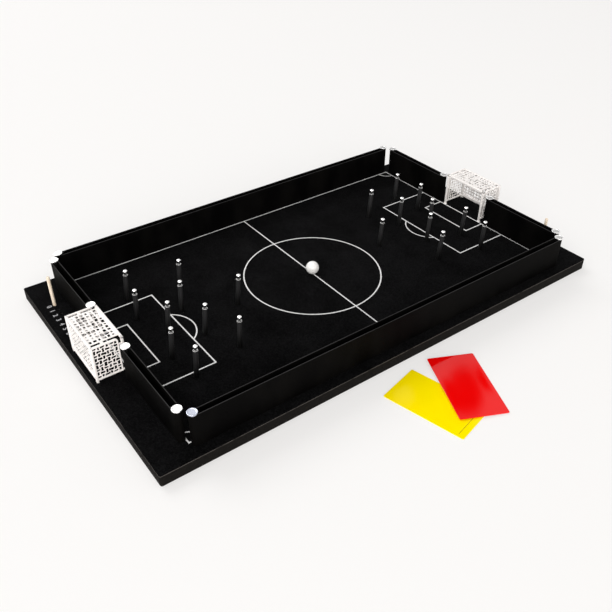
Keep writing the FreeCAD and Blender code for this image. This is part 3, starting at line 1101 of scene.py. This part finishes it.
@dataclass
class Walls:
    """The rubber bands and the metal posts that hold them.

    The dish in a post's head rises over dish_bank and then rim_bank. Both give places out from the rim's
    inside, the first with heights over the dish and the second with depths under the head's top.
    """

    post_sides: int = 40
    head_thickness: float = 1.5
    head_round: float = 0.3
    under_round: float = 0.2
    rim_width: float = 0.95
    dish_depth: float = 0.35
    dish_bank: tuple[Pair, ...] = ((-1.4, 0), (-0.25, 0), (0, 0.04))
    rim_bank: tuple[Pair, ...] = ((0.18, 0.04), (0.4, 0))
    shank_radius: float = 3.0
    shank_fillet: float = 0.15
    shank_foot: float = 0.01
    spigot_radius: float = 2.0
    band_gap: float = 0.05
    band_thickness: float = 1.0
    band_round: float = 0.42
    band_levels: tuple[float, ...] = (0.15, 0.35, 0.5, 0.65, 0.85)
    band_slack: float = 0.28
    band_sag: float = 0.1
    band_twist: float = 0.35
    wave_lengths: Triple = (41.0, 23.0, 17.0)
    ripple: float = 0.6
    wrap_steps: int = 14
    run_step: float = 7.0
    names: tuple[str, ...] = ("front_wall", "back_wall", "home_front_wall", "home_back_wall",
                              "away_front_wall", "away_back_wall")

    def post(self, low: float, high: float, head: float, felt_top: float) -> Surface:
        """Return one post, turned, with a shallow dish in its flat head.

        Args:
            low: The height of the spigot's end.
            high: The height of the head's top.
            head: The head's radius.
            felt_top: The height of the felt that its shoulder stands on.

        Returns:
            The post, on the Z axis.
        """
        dish, inner = high - self.dish_depth, head - self.rim_width
        under, foot = high - self.head_thickness, felt_top + self.shank_foot
        edge, lower = self.head_round, self.under_round
        profile = [(0, dish)] + [(inner + step, dish + rise) for step, rise in self.dish_bank]
        profile += [(inner + step, high - drop) for step, drop in self.rim_bank]
        profile += arc(head - edge, high - edge, (edge, edge), 90, 0, 4)
        profile += arc(head - lower, under + lower, (lower, lower), 0, -90, 3)
        profile += [(self.shank_radius + self.shank_fillet, under),
                    (self.shank_radius, under - self.shank_fillet), (self.shank_radius, foot),
                    (self.spigot_radius, foot), (self.spigot_radius, low), (0, low)]
        return lathe(profile, self.post_sides)

    def path(self, first: Vector, second: Vector) -> list[tuple[Vector, Vector, float]]:
        """Return the line that a band takes round two posts.

        Args:
            first: The first post's axis.
            second: The second post's axis.

        Returns:
            Each place on the band's middle line, the way out of the loop there, and how far the
            place is from the posts, from 0 at a post to 1 midway.
        """
        run = (second - first).to_2d()
        along = run.normalized()
        radius = (self.shank_radius + self.band_gap + self.band_thickness / 2) * MM
        steps = max(6, round(run.length / MM / self.run_step))
        places = []
        for start, way in ((first, along), (second, -along)):
            out = Vector((way.y, -way.x))
            for i in range(steps):
                share = i / steps
                place = start.to_2d() + way * run.length * share + out * radius
                places.append((place, out, math.sin(math.pi * share)))
            end = start.to_2d() + way * run.length
            for i in range(self.wrap_steps):
                turn = math.pi * i / self.wrap_steps
                aim = out * math.cos(turn) + way * math.sin(turn)
                places.append((end + aim * radius, aim, 0.0))
        return places

    def section(self, low: float, high: float) -> list[Pair]:
        """Return the outline of a band's cross-section, with rounded edges.

        Args:
            low: The height of its lower edge.
            high: The height of its upper edge.

        Returns:
            Each point's place out from the band's middle, and its height.
        """
        edge = self.band_round
        half, middle = self.band_thickness / 2, self.band_thickness / 2 - self.band_round
        levels = [low + (high - low) * share for share in self.band_levels]
        section = []
        for x, z, start in ((middle, high - edge, 0), (-middle, high - edge, 90),
                            (-middle, low + edge, 180), (middle, low + edge, 270)):
            section += arc(x, z, (edge, edge), start, start + 90, 4)
            if start == 90:
                section += [(-half, level) for level in reversed(levels)]
        return section + [(half, level) for level in levels]

    def band(self, node: str, first: Vector, second: Vector) -> Surface:
        """Return one band, its plies a little slack between the posts.

        Args:
            node: The band's node, which gives its lowest and highest edge.
            first: The first post's axis.
            second: The second post's axis.

        Returns:
            The band.
        """
        low, high = (corner.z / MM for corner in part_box(node))
        section = self.section(low, high)
        along, across, short = self.wave_lengths
        surface = Surface()
        rings = []
        for place, out, free in self.path(first, second):
            wave = math.sin(place.x / MM / along + place.y / MM / across)
            wave += self.ripple * math.sin(place.x / MM / short)
            ring = []
            for offset, height in section:
                share = (height - low) / (high - low)
                twist = self.band_twist * wave * (share - 0.5)
                bow = free * self.band_slack * (math.sin(math.pi * share) - 0.5 + twist)
                sag = free * self.band_sag * wave
                spot = place + out * (offset - bow) * MM
                ring.append((spot.x, spot.y, (height - abs(sag) * share) * MM))
            rings.append(surface.add(ring))
        surface.skin(rings + rings[:1])
        return surface

    def build(self) -> None:
        """Build the six walls."""
        felt_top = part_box("felt_sheet")[1].z / MM
        for name in self.names:
            node = name + "_posts"
            (low, high), other = standing_solids(node)
            posts = self.post(low.z / MM, high.z / MM, (high.x - low.x) / 2 / MM, felt_top)
            stood(posts, node).piece(name + "_metal_posts", Metal(), "board", "post_metal", node)
            band = self.band(name + "_band", (low + high) / 2, (other[0] + other[1]) / 2)
            band.piece(name + "_rubber", Rubber(), "board", "band_rubber", name + "_band")


@dataclass
class Players:
    """One side's pins and the rubber sleeves on them, pressed in by hand and so a little askew."""

    team: Team
    sides: int = 28
    shank: float = 1.5
    shank_fillet: float = 0.2
    dome: float = 1.35
    head_depth: float = 1.9
    head_round: float = 0.3
    sleeve: float = 2.6
    sleeve_gap: float = 0.05
    sleeve_waist: float = 0.04
    sleeve_ends: Pair = (0.2, 0.4)
    lip: float = 0.35
    lip_width: float = 0.5
    lip_round: float = 0.22
    bore_bevel: float = 0.1
    mean_lean: Pair = (2.6, -0.6)
    lean_spread: float = 0.9
    lean_wave: Pair = (17.0, 11.0)
    lean_turn: float = 1.7

    def pin(self, low: float, high: float, head: float) -> Surface:
        """Return one domed pin, turned.

        Args:
            low: The height of its lower end.
            high: The height of its dome's top.
            head: The head's radius.

        Returns:
            The pin, on the Z axis.
        """
        under, edge = high - self.head_depth, self.head_round
        profile = arc(0, high - self.dome, (head, self.dome), 90, 8, 8)
        profile += arc(head - edge, under + edge, (edge, edge), 0, -90, 3)
        profile += [(self.shank + self.shank_fillet, under), (self.shank, under - self.shank_fillet),
                    (self.shank, low), (0, low)]
        return lathe([(0, high)] + profile[1:], self.sides)

    def tube(self, low: float, high: float) -> Surface:
        """Return one sleeve with a thin lip round its cut end.

        Args:
            low: The height of its lower end.
            high: The height of its lip.

        Returns:
            The sleeve, on the Z axis.
        """
        bore, outside, edge = self.shank + self.sleeve_gap, self.sleeve, self.lip_round
        waist, mouth = (outside - self.sleeve_waist, low + (high - low) * 0.5), high - self.lip
        profile = [(bore, low), (outside, low), (outside, low + self.sleeve_ends[0]), waist,
                   (outside, high - self.sleeve_ends[1])]
        profile += arc(outside - edge, high - edge, (edge, edge), 0, 180, 8)
        profile += [(outside - self.lip_width, mouth), (bore, mouth - self.bore_bevel), (bore, low)]
        return lathe(profile, self.sides)

    def leaning(self, item: Surface, node: str) -> Surface:
        """Return copies of a turned item, leaning about their feet.

        Args:
            item: The item, on the Z axis.
            node: The node that has one solid for each copy.

        Returns:
            The copies.
        """
        felt_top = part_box("felt_sheet")[1].z
        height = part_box(self.team.value + "_player_pins")[1].z - felt_top
        foot = Matrix.Translation((0, 0, felt_top))
        group = Surface()
        for low, high in standing_solids(node):
            x, y = (low.x + high.x) / 2, (low.y + high.y) / 2
            wave = x / MM / self.lean_wave[0] + y / MM / self.lean_wave[1]
            lean = Matrix.Identity(4)
            for axis, spread in enumerate((math.sin(wave), math.cos(self.lean_turn * wave))):
                lean[axis][2] = (self.mean_lean[axis] + self.lean_spread * spread) * MM / height
            group.join(item, Matrix.Translation((x, y, 0)) @ foot @ lean @ foot.inverted())
        return group

    def build(self) -> None:
        """Build the side's pins and sleeves."""
        name = self.team.value
        node = name + "_player_pins"
        low, high = standing_solids(node)[0]
        pin = self.pin(low.z / MM, high.z / MM, (high.x - low.x) / 2 / MM)
        self.leaning(pin, node).piece(
            name + "_steel_pins", Metal(waves=(0, 0), roughness=0.1), "board", "pin_steel", node)
        node = name + "_player_sleeves"
        low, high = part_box(node)
        self.leaning(self.tube(low.z / MM, high.z / MM), node).piece(
            name + "_rubber_tubes", Tube(), "board", "sleeve_rubber", node)


class Lie(Enum):
    """Which of the goal's axes a net panel's own X, Y and Z lie along."""

    BACK = "YZX"
    ROOF = "XYZ"
    SIDE = "XZY"

    def at(self, origin: Sequence[float]) -> Matrix:
        """Return the matrix that lays a panel this way.

        Args:
            origin: Where the panel's origin goes, in millimetres.

        Returns:
            The matrix.
        """
        ways = {"X": Vector((1, 0, 0)), "Y": Vector((0, 1, 0)), "Z": Vector((0, 0, 1))}
        turned = Matrix([ways[axis] for axis in self.value]).transposed().to_4x4()
        return Matrix.Translation(Vector(origin) * MM) @ turned


@dataclass
class NetPanel:
    """A flat moulded net whose strings weave over and under, with four-sided gaps that vary."""

    size: Pair
    gaps: tuple[int, int]
    thickness: float
    string: float
    start: float
    weave: float = 0.4
    wander: float = 0.3
    uneven: float = 0.2
    corner_cut: float = 0.0
    wave_across: Pair = (2.3, 4.1)
    wave_up: Pair = (3.7, -1.9)
    squareness: float = 4.5
    spread_wave: Triple = (12.9, 78.2, 437.5)
    least_reach: float = 0.1
    gap_points: int = 16
    half_string: tuple[Pair, ...] = ((0.0, 1.0), (0.55, 0.86), (0.9, 0.5))

    def crossing(self, column: int, row: int) -> Vector:
        """Return where two strings cross.

        Args:
            column: The upright string's number.
            row: The level string's number, from the bottom.

        Returns:
            The place in the panel's plane.
        """
        x = column * self.size[0] / self.gaps[0]
        y = row * self.size[1] / self.gaps[1]
        if 0 < column < self.gaps[0]:
            across = self.wave_across[0] * column + self.wave_across[1] * row
            x += self.wander * math.sin(across + self.start)
        if 0 < row < self.gaps[1]:
            up = self.wave_up[0] * column + self.wave_up[1] * row
            y += self.wander * math.cos(up + 2 * self.start)
        if column == 0 and row == self.gaps[1]:
            x, y = x + self.corner_cut, y - self.corner_cut
        return Vector((x, y))

    def gap(self, column: int, row: int, share: float) -> list[Vector]:
        """Return the outline of one gap.

        Args:
            column: The gap's column.
            row: The gap's row, from the bottom.
            share: How much of the string's half width the outline keeps away from the string's middle.

        Returns:
            The outline's points.
        """
        corners = [self.crossing(column + i, row + j) for i, j in ((0, 0), (1, 0), (1, 1), (0, 1))]
        width = (corners[1] - corners[0] + corners[2] - corners[3]).length / 2
        height = (corners[3] - corners[0] + corners[2] - corners[1]).length / 2
        across, up, scale = self.spread_wave
        spread = math.sin(across * column + up * row + self.start) * scale % 1.0
        string = self.string * (1 + self.uneven * (2 * spread - 1))
        reach = [max(self.least_reach, 0.5 - string / 2 * share / span) for span in (width, height)]
        turn = self.weave * (-1 if (column + row) % 2 else 1)
        power = self.squareness
        points = []
        for i in range(self.gap_points):
            angle = FULL_TURN * (i + 0.5) / self.gap_points
            c, s = math.cos(angle), math.sin(angle)
            square = 1 / max(abs(c), abs(s))
            if share > 0:
                square = (abs(c) ** power + abs(s) ** power) ** (-1 / power)
            u, v = 0.5 + c * square * reach[0], 0.5 + s * square * reach[1]
            point = corners[0].lerp(corners[1], u).lerp(corners[3].lerp(corners[2], u), v)
            pull = Vector((math.sin(math.pi * v) * (1 - 2 * u), -math.sin(math.pi * u) * (1 - 2 * v)))
            points.append(point + pull * turn)
        return points

    def shape(self) -> Surface:
        """Shape the net, gap by gap.

        Returns:
            The net in its own plane, its thickness about z 0.
        """
        surface = Surface()
        half = self.thickness / 2
        upper = [(share, half * level) for share, level in self.half_string]
        rings = upper + [(1.0, 0.0)] + [(share, -height) for share, height in reversed(upper)]
        for column in range(self.gaps[0]):
            for row in range(self.gaps[1]):
                surface.skin([surface.level(self.gap(column, row, share), height)
                              for share, height in rings])
                self.fill_corners(surface, column, row, half)
        return surface

    def fill_corners(self, surface: Surface, column: int, row: int, half: float) -> None:
        """Close the corners between a gap's squared outline and its four crossings.

        Args:
            surface: The surface that gets the faces.
            column: The gap's column.
            row: The gap's row.
            half: Half the net's thickness.
        """
        rim = self.gap(column, row, 0.0)
        quarter = self.gap_points // 4
        for i, (right, up) in enumerate(((1, 1), (0, 1), (0, 0), (1, 0))):
            before = quarter * i + quarter // 2 - 1
            near = (rim[before], self.crossing(column + right, row + up), rim[before + 1])
            for height in (half, -half):
                surface.faces.append(surface.level(near, height))


@dataclass
class Goal:
    """A moulded goal: bars, rims and four nets. Its front face is at x 0 and its feet at z 0."""

    team: Team
    width: float = 63.6
    depth: float = 33.5
    height: float = 43.2
    bar: float = 2.6
    corner_post: Pair = (2.4, 3.8)
    foot: float = 2.8
    foot_profile: tuple[Pair, ...] = ((0, 0.01), (2.2, 0.01), (2.2, 0.45), (1.75, 1.0), (1.35, 1.6), (0, 1.6))
    rail: float = 3.6
    rim: float = 2.0
    rim_corner: float = 3.5
    rim_rear: float = 1.1
    rim_recess: float = 0.04
    rim_edge: float = 0.44
    opening_corner: float = 2.0
    opening_front: float = 1.2
    opening_rear: float = 2.1
    opening_floor: float = 1.6
    roof: float = 1.2
    strip: float = 1.8
    top_slot: float = 3.4
    front_slot: float = 2.8
    top_bridge: Pair = (18.4, 21.8)
    front_bridges: Pair = (2.8, 34.2)
    front_bridge_height: float = 2.0
    front_border: float = 1.6
    bridge_start: float = 0.6
    strip_reach: float = 0.6
    plane_gaps: Pair = (0.03, 0.02)
    tuck: float = 0.5
    under: float = 0.7
    back_net_inset: float = 1.0
    roof_net_drop: float = 0.5
    slot_row: float = 5.2
    spigot: float = 1.2
    spigot_length: float = 6.0
    spigot_tip: float = 0.4
    edge: float = 0.55
    foot_sides: int = 24
    spigot_sides: int = 20

    def foot_and_spigot(self) -> Surface:
        """Turn a front post's round foot and the spigot under it.

        Returns:
            Both, on the Z axis.
        """
        surface = lathe(self.foot_profile, self.foot_sides)
        length, tip = self.spigot_length, self.spigot_tip
        pin = [(0, self.tuck), (self.spigot, self.tuck), (self.spigot, tip - length),
               (self.spigot - tip, -length), (0, -length)]
        surface.join(lathe(pin, self.spigot_sides))
        return surface

    def bars(self) -> Surface:
        """Shape the straight members.

        Returns:
            The members with their feet and spigots.
        """
        half, top, tuck = self.width / 2, self.height, self.tuck
        rear = self.depth - self.bar
        strip = half - self.rim - self.top_slot
        inner = strip - self.strip
        low, roof = top - self.bar, top - self.roof
        rear_half = half - self.corner_post[1] + tuck
        # The strips' tops lie plane_gaps under the bars' tops, so that no two faces share a plane
        boxes = [
            ((0, -half, low), (self.bar, half, top)),
            ((self.bar / 2, -strip, roof), (self.bar + self.front_border, strip, top - self.plane_gaps[0])),
            ((rear, -rear_half, low), (self.depth, rear_half, top)),
            ((rear, -rear_half, self.foot), (self.depth, rear_half, self.foot + self.rail)),
        ]
        across = [
            (0, self.bar, half - self.bar, half, 0, top),
            (self.depth - self.corner_post[0], self.depth, half - self.corner_post[1], half, 0, top),
            (self.bar / 2, rear + self.strip_reach, inner, strip, roof, top - self.plane_gaps[1]),
            (*self.top_bridge, inner, half - self.rim / 2, roof - tuck, top - tuck),
        ]
        for base in self.front_bridges:
            across.append((self.bar * self.bridge_start, self.bar + self.front_slot + self.rim / 2,
                           half - self.rim, half - tuck, base, base + self.front_bridge_height))
        frame_bars = Surface()
        for side in SIDES:
            for x0, x1, y0, y1, z0, z1 in across:
                y0, y1 = sorted((side * y0, side * y1))
                boxes.append(((x0, y0, z0), (x1, y1, z1)))
            stand = Matrix.Translation(Vector((self.bar / 2, side * (half - self.bar / 2), 0)) * MM)
            frame_bars.join(self.foot_and_spigot(), stand)
        for low_corner, high_corner in boxes:
            frame_bars.join(rounded_bar(low_corner, high_corner, self.edge))
        return frame_bars

    def side_rim(self, side: int) -> Surface:
        """Return the rim round one side, with its rounded top front corner.

        Args:
            side: -1 or 1, the sign of the side's y.

        Returns:
            The rim.
        """
        x0, x1 = self.bar + self.front_slot, self.depth - self.rim_rear
        z0, z1, corner, inside = self.foot, self.height, self.rim_corner, self.opening_corner
        outline = [(x1, z0), (x1, z1), *arc(x0 + corner, z1 - corner, (corner, corner), 90, 180, 8), (x0, z0)]
        left, right = x0 + self.opening_front, self.depth - self.opening_rear
        floor, roof = z0 + self.opening_floor, z1 - self.rim
        inner = [(right, floor), (right, roof),
                 *arc(left + inside, roof - inside, (inside, inside), 90, 180, 8), (left, floor)]
        surface = Surface()
        outers, inners = [], []
        for inset, depth in eased(self.rim, self.rim_edge):
            y = side * (self.width / 2 - self.rim_recess - depth)
            for loops, ring, way in ((outers, outline, 1), (inners, inner, -1)):
                loops.append(surface.add((x * MM, y * MM, z * MM) for x, z in drawn_in(ring, inset * way)))
        surface.skin(outers)
        surface.skin(inners)
        surface.bridge(outers[0], inners[0])
        surface.bridge(outers[-1], inners[-1])
        return surface

    def nets(self) -> Surface:
        """Shape the back, top and side nets, each reaching a little under the bars round it.

        Returns:
            The nets.
        """
        half, top, under = self.width / 2, self.height, self.under
        behind = self.depth - self.back_net_inset
        low = self.foot + self.rail - under
        slots = top - self.bar - self.slot_row
        across = half - self.corner_post[1] + under
        back = NetPanel((2 * across, slots - low), (12, 7), thickness=0.4, string=2.1, start=0.4, weave=0.3,
                        uneven=0.4)
        row = NetPanel((2 * across, self.slot_row + 2 * under), (13, 1), thickness=0.4, string=1.6, start=2.6,
                       uneven=0.5)
        inner = half - self.rim - self.top_slot - self.strip + under
        start, end = self.bar + self.front_border - under, self.depth - self.bar + under
        roof = NetPanel((end - start, 2 * inner), (6, 10), thickness=0.5, string=2.1, start=1.9, weave=0.35,
                        wander=0.5, uneven=0.75)
        panels = [
            (back, Lie.BACK.at((behind, -across, low))),
            (row, Lie.BACK.at((behind, -across, slots))),
            (roof, Lie.ROOF.at((start, -inner, top - self.roof_net_drop))),
        ]
        front = self.bar + self.front_slot + self.opening_front - under
        floor = self.foot + self.opening_floor - under
        size = (self.depth - self.opening_rear + under - front, top - self.rim + under - floor)
        for side, seed in ((-1, 3.1), (1, 5.2)):
            sheet = NetPanel(size, (6, 9), thickness=0.5, string=0.98, start=seed, weave=0.8, wander=0.5,
                             uneven=0.5, corner_cut=0.6)
            panels.append((sheet, Lie.SIDE.at((front, side * (half - self.rim / 2), floor))))
        surface = Surface()
        for panel, place in panels:
            surface.join(panel.shape(), place)
        return surface

    def build(self) -> None:
        """Build the goal at its team's end."""
        name = self.team.value
        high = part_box("away_goal_frame")[1]
        place = Matrix.Translation((high.x - self.depth * MM, 0, high.z - self.height * MM))
        place = self.team.turned() @ place
        moulding = self.bars()
        for side in SIDES:
            moulding.join(self.side_rim(side))
        moulding.moved(place).piece(name + "_goal_moulding", Moulding(), name + "_goal", "goal_plastic",
                                    name + "_goal_frame")
        self.nets().moved(place).piece(name + "_goal_netting", Moulding(), name + "_goal", "net_plastic",
                                       name + "_goal_nets", crease=60)


@dataclass
class Ball:
    """The white ball."""

    cuts: int = 14

    def build(self) -> None:
        """Build the ball as a cube drawn out to a sphere, so that its faces are even."""
        low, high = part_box("ball")
        middle, radius = (low + high) / 2, (high.z - low.z) / 2
        work = bmesh.new()
        bmesh.ops.create_cube(work, size=2)
        bmesh.ops.subdivide_edges(work, edges=work.edges, cuts=self.cuts, use_grid_fill=True)
        surface = emptied(work, lambda place: place.normalized() * radius + middle)
        finish = Moulding(white=(0.9, 0.9, 0.89), shade=(0.84, 0.84, 0.82), roughness=0.12, flow_mm=6)
        surface.piece("game_ball", finish, "ball", "ball_plastic", "ball")


@dataclass
class ScorePegs:
    """The wooden score pegs, each with a rounded tip and a slight taper."""

    radius: float = 1.9
    sides: int = 28
    tip_flat: float = 0.7
    tip_height: float = 1.1
    taper_start: float = 9.0
    foot: tuple[Pair, ...] = ((0.1, 0.4), (0.5, 0))

    def build(self) -> None:
        """Build both pegs."""
        for team in Team:
            node = team.value + "_score_peg"
            low, high = (corner.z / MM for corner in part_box(node))
            tip = (self.radius - self.tip_flat, self.tip_height)
            profile = [(0, high)] + arc(self.tip_flat, high - self.tip_height, tip, 90, 0, 6)
            profile += [(self.radius, low + self.taper_start)]
            profile += [(self.radius - inset, low + rise) for inset, rise in self.foot] + [(0, low)]
            stood(lathe(profile, self.sides), node).piece(
                team.value + "_wooden_peg", Dowel(), team.value + "_score_peg", "peg_wood", node)


@dataclass
class RefereeCard:
    """One glossy card lying in front of the board."""

    colour: str
    finish: Finish
    turn: float
    tilt: float = 0.0
    bow: float = 0.0
    ruled_line: float = 0.0
    length: float = 88.9
    width: float = 50.8
    thickness: float = 0.76
    corner: float = 1.5
    edge: float = 0.14
    grid: float = 6.0
    line_width: float = 0.35
    line_margin: float = 3.0
    line_lift: float = 0.02

    def placed(self) -> Matrix:
        """Return where the card lies: flat about its node's middle, or tilted about its long edge."""
        low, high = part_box(self.colour + "_card")
        return (Matrix.Translation((low + high) / 2) @ Matrix.Rotation(math.radians(self.turn), 4, "Z")
                @ Matrix.Rotation(math.radians(self.tilt), 4, "X"))

    def face(self, surface: Surface, ring: Sequence[int], height: float) -> None:
        """Fill one face of the card with an even grid that can bow.

        Args:
            surface: The surface that gets the face.
            ring: The numbers of the points round it.
            height: Its height.
        """
        columns, rows = round(self.length / self.grid), round(self.width / self.grid)
        dots = [((i / columns - 0.5) * self.length, (j / rows - 0.5) * self.width)
                for i in range(1, columns) for j in range(1, rows)]
        flat_fill(surface, [ring, *([dot] for dot in surface.level(dots, height))], lambda place: True)

    def build(self) -> None:
        """Build the card with rounded corners and edges and a slight bow."""
        surface = Surface()
        half = self.thickness / 2
        rings = []
        for inset, height in eased(self.thickness, self.edge):
            outline = rounded_rectangle(self.length - 2 * inset, self.width - 2 * inset, self.corner - inset)
            rings.append(surface.level(outline, height - half))
        surface.skin(rings)
        self.face(surface, rings[0], -half)
        self.face(surface, rings[-1], half)
        for point in surface.points:
            share = point.x / (self.length / 2 * MM)
            point.z += self.bow * MM * (share * share - 0.5)
        name = self.colour + "_card"
        surface.moved(self.placed()).piece(f"{self.colour}_referee_card", self.finish, name, name, name,
                                           crease=12)
        if self.ruled_line:
            x0, x1, y = self.ruled_line, self.ruled_line + self.line_width, self.width / 2 - self.line_margin
            line = Surface()
            line.faces.append(line.level([(x0, -y), (x1, -y), (x1, y), (x0, y)], half + self.line_lift))
            ink = Ink((0.012, 0.012, 0.012), (0.5, 0.42, 0.01))
            line.moved(self.placed()).piece(f"{self.colour}_ruled_line", ink, name, name)


@dataclass(frozen=True)
class Patch:
    """A round patch of the white surroundings that gloss shows at its own strength, angles in degrees."""

    azimuth: float
    elevation: float
    inner: float
    outer: float
    strength: float

    def over(self, way: Link, shown: Value) -> Link:
        """Return the surroundings' strength with this patch laid over them.

        Args:
            way: The direction that the gloss mirrors.
            shown: The strength without the patch.

        Returns:
            The strength with it.
        """
        azimuth, elevation = math.radians(self.azimuth), math.radians(self.elevation)
        aim = (math.cos(elevation) * math.cos(azimuth), math.cos(elevation) * math.sin(azimuth),
               math.sin(elevation))
        near = way.sheet.node("ShaderNodeVectorMath", {"operation": "DOT_PRODUCT"}, {0: way, 1: aim}, "Value")
        inside = near.rise(math.cos(math.radians(self.outer)), math.cos(math.radians(self.inner)))
        return inside * self.strength + (1 - inside) * shown


@dataclass(frozen=True)
class Lamp:
    """A square soft lamp: its place and side in metres, its power in watts and its colour."""

    name: str
    place: Triple
    size: float
    power: float
    colour: Colour

    def hang(self) -> None:
        """Hang the lamp so that it looks at the board's middle."""
        light = bpy.data.lights.new(self.name, "AREA")
        light.size = self.size
        light.energy = self.power
        light.color = self.colour
        aimed(in_scene(self.name, light), Vector(self.place), -Vector(self.place))


class Studio:
    """The plain floor, the soft light, the white surroundings and the camera, sizes in metres."""

    camera_place = Vector((-0.42272, -0.56582, 0.48719))
    camera_aim = Vector((0.474516, 0.649534, -0.594087))
    camera_reach = (0.01, 60.0)
    lens_mm = 42.344
    sensor_mm = 36.0
    floor_size = 30.0
    floor_drop = 0.0002
    floor_paint = (0.86, 0.855, 0.85)
    near_glow = 0.5
    horizon = (1.2, 6.0)
    white = (1.0, 0.99, 0.98)
    backdrop = 0.955
    fill_light = 0.55
    patches = (
        Patch(38.0, 22.0, 9.0, 14.0, 0.38),
        Patch(41.0, 44.0, 3.6, 4.8, 0.0),
        Patch(43.3, 43.1, 0.4, 1.0, 0.5),
        Patch(34.3, 39.9, 0.9, 1.7, 0.0),
    )
    lamps = (
        Lamp("key", (-4.3, -0.6, 3.6), 3.2, 78.0, (1.0, 0.99, 0.98)),
        Lamp("back", (-0.85, 4.3, 4.3), 3.1, 140.0, (1.0, 0.99, 0.98)),
        Lamp("front", (-2.95, -5.05, 1.26), 5.0, 380.0, (1.0, 0.96, 0.925)),
    )

    def floor(self) -> None:
        """Lay the pale floor, which keeps the object's shadow and far off fades into the backdrop."""
        mesh = bpy.data.meshes.new("floor")
        reach = self.floor_size / 2
        signs = ((-1, -1), (1, -1), (1, 1), (-1, 1))
        corners = [(sx * reach, sy * reach, -self.floor_drop) for sx, sy in signs]
        mesh.from_pydata(corners, [], [(0, 1, 2, 3)])
        in_scene("floor", mesh)
        material = bpy.data.materials.new("pale floor")
        sheet = NodeSheet(material)
        paint = sheet.node("ShaderNodeBsdfDiffuse", {}, {"Color": self.floor_paint})
        glow = sheet.node("ShaderNodeEmission", {}, {"Color": self.white, "Strength": self.backdrop})
        seen = sheet.node("ShaderNodeLightPath", {}, {}, "Is Camera Ray")
        away = sheet.node("ShaderNodeVectorMath", {"operation": "LENGTH"}, {0: sheet.place()}, "Value")
        fade = self.near_glow + away.rise(*self.horizon) * (1 - self.near_glow)
        mixed = sheet.node("ShaderNodeMixShader", {}, {0: seen * fade, 1: paint, 2: glow})
        sheet.node("ShaderNodeOutputMaterial", {}, {"Surface": mixed})
        mesh.materials.append(material)

    def surroundings(self) -> None:
        """Surround the scene with white that lights softly and shows in gloss."""
        world = bpy.data.worlds.new("white room")
        bpy.context.scene.world = world
        sheet = NodeSheet(world)
        camera, gloss, clear = (sheet.node("ShaderNodeLightPath", {}, {}, f"Is {kind} Ray")
                                for kind in ("Camera", "Glossy", "Transmission"))
        seen = camera + clear
        way = sheet.node("ShaderNodeTexCoord", {}, {}, "Generated")
        shown: Value = 1.0
        for patch in self.patches:
            shown = patch.over(way, shown)
        soft = (1 - seen) * (1 - gloss) * self.fill_light
        strength = seen * self.backdrop + gloss * shown + soft
        light = sheet.node("ShaderNodeBackground", {}, {"Color": self.white, "Strength": strength})
        sheet.node("ShaderNodeOutputWorld", {}, {"Surface": light})

    def camera(self) -> None:
        """Set the camera where the photograph was taken from."""
        data = bpy.data.cameras.new("camera")
        data.lens = self.lens_mm
        data.sensor_width = self.sensor_mm
        data.clip_start, data.clip_end = self.camera_reach
        camera = in_scene("camera", data)
        aimed(camera, self.camera_place, self.camera_aim)
        bpy.context.scene.camera = camera

    def build(self) -> None:
        """Set up the stage."""
        self.camera()
        self.floor()
        self.surroundings()
        for lamp in self.lamps:
            lamp.hang()
        bpy.context.scene.view_settings.view_transform = "Standard"


def main() -> None:
    """Build the object piece by piece."""
    logging.basicConfig(level=logging.INFO, format="%(message)s")
    Studio().build()
    Board().build()
    PitchPrint().build()
    Walls().build()
    for team in Team:
        Players(team).build()
        Goal(team).build()
    Ball().build()
    ScorePegs().build()
    yellow = CardStock((1.0, 0.79, 0.0), (0.98, 0.77, 0.0))
    red = CardStock((0.82, 0.001, 0.001), (0.8, 0.0, 0.0))
    RefereeCard("yellow", yellow, turn=103.9, ruled_line=-38.0).build()
    RefereeCard("red", red, turn=66.4, tilt=1.9, bow=0.16).build()


if __name__ == "__main__":
    main()
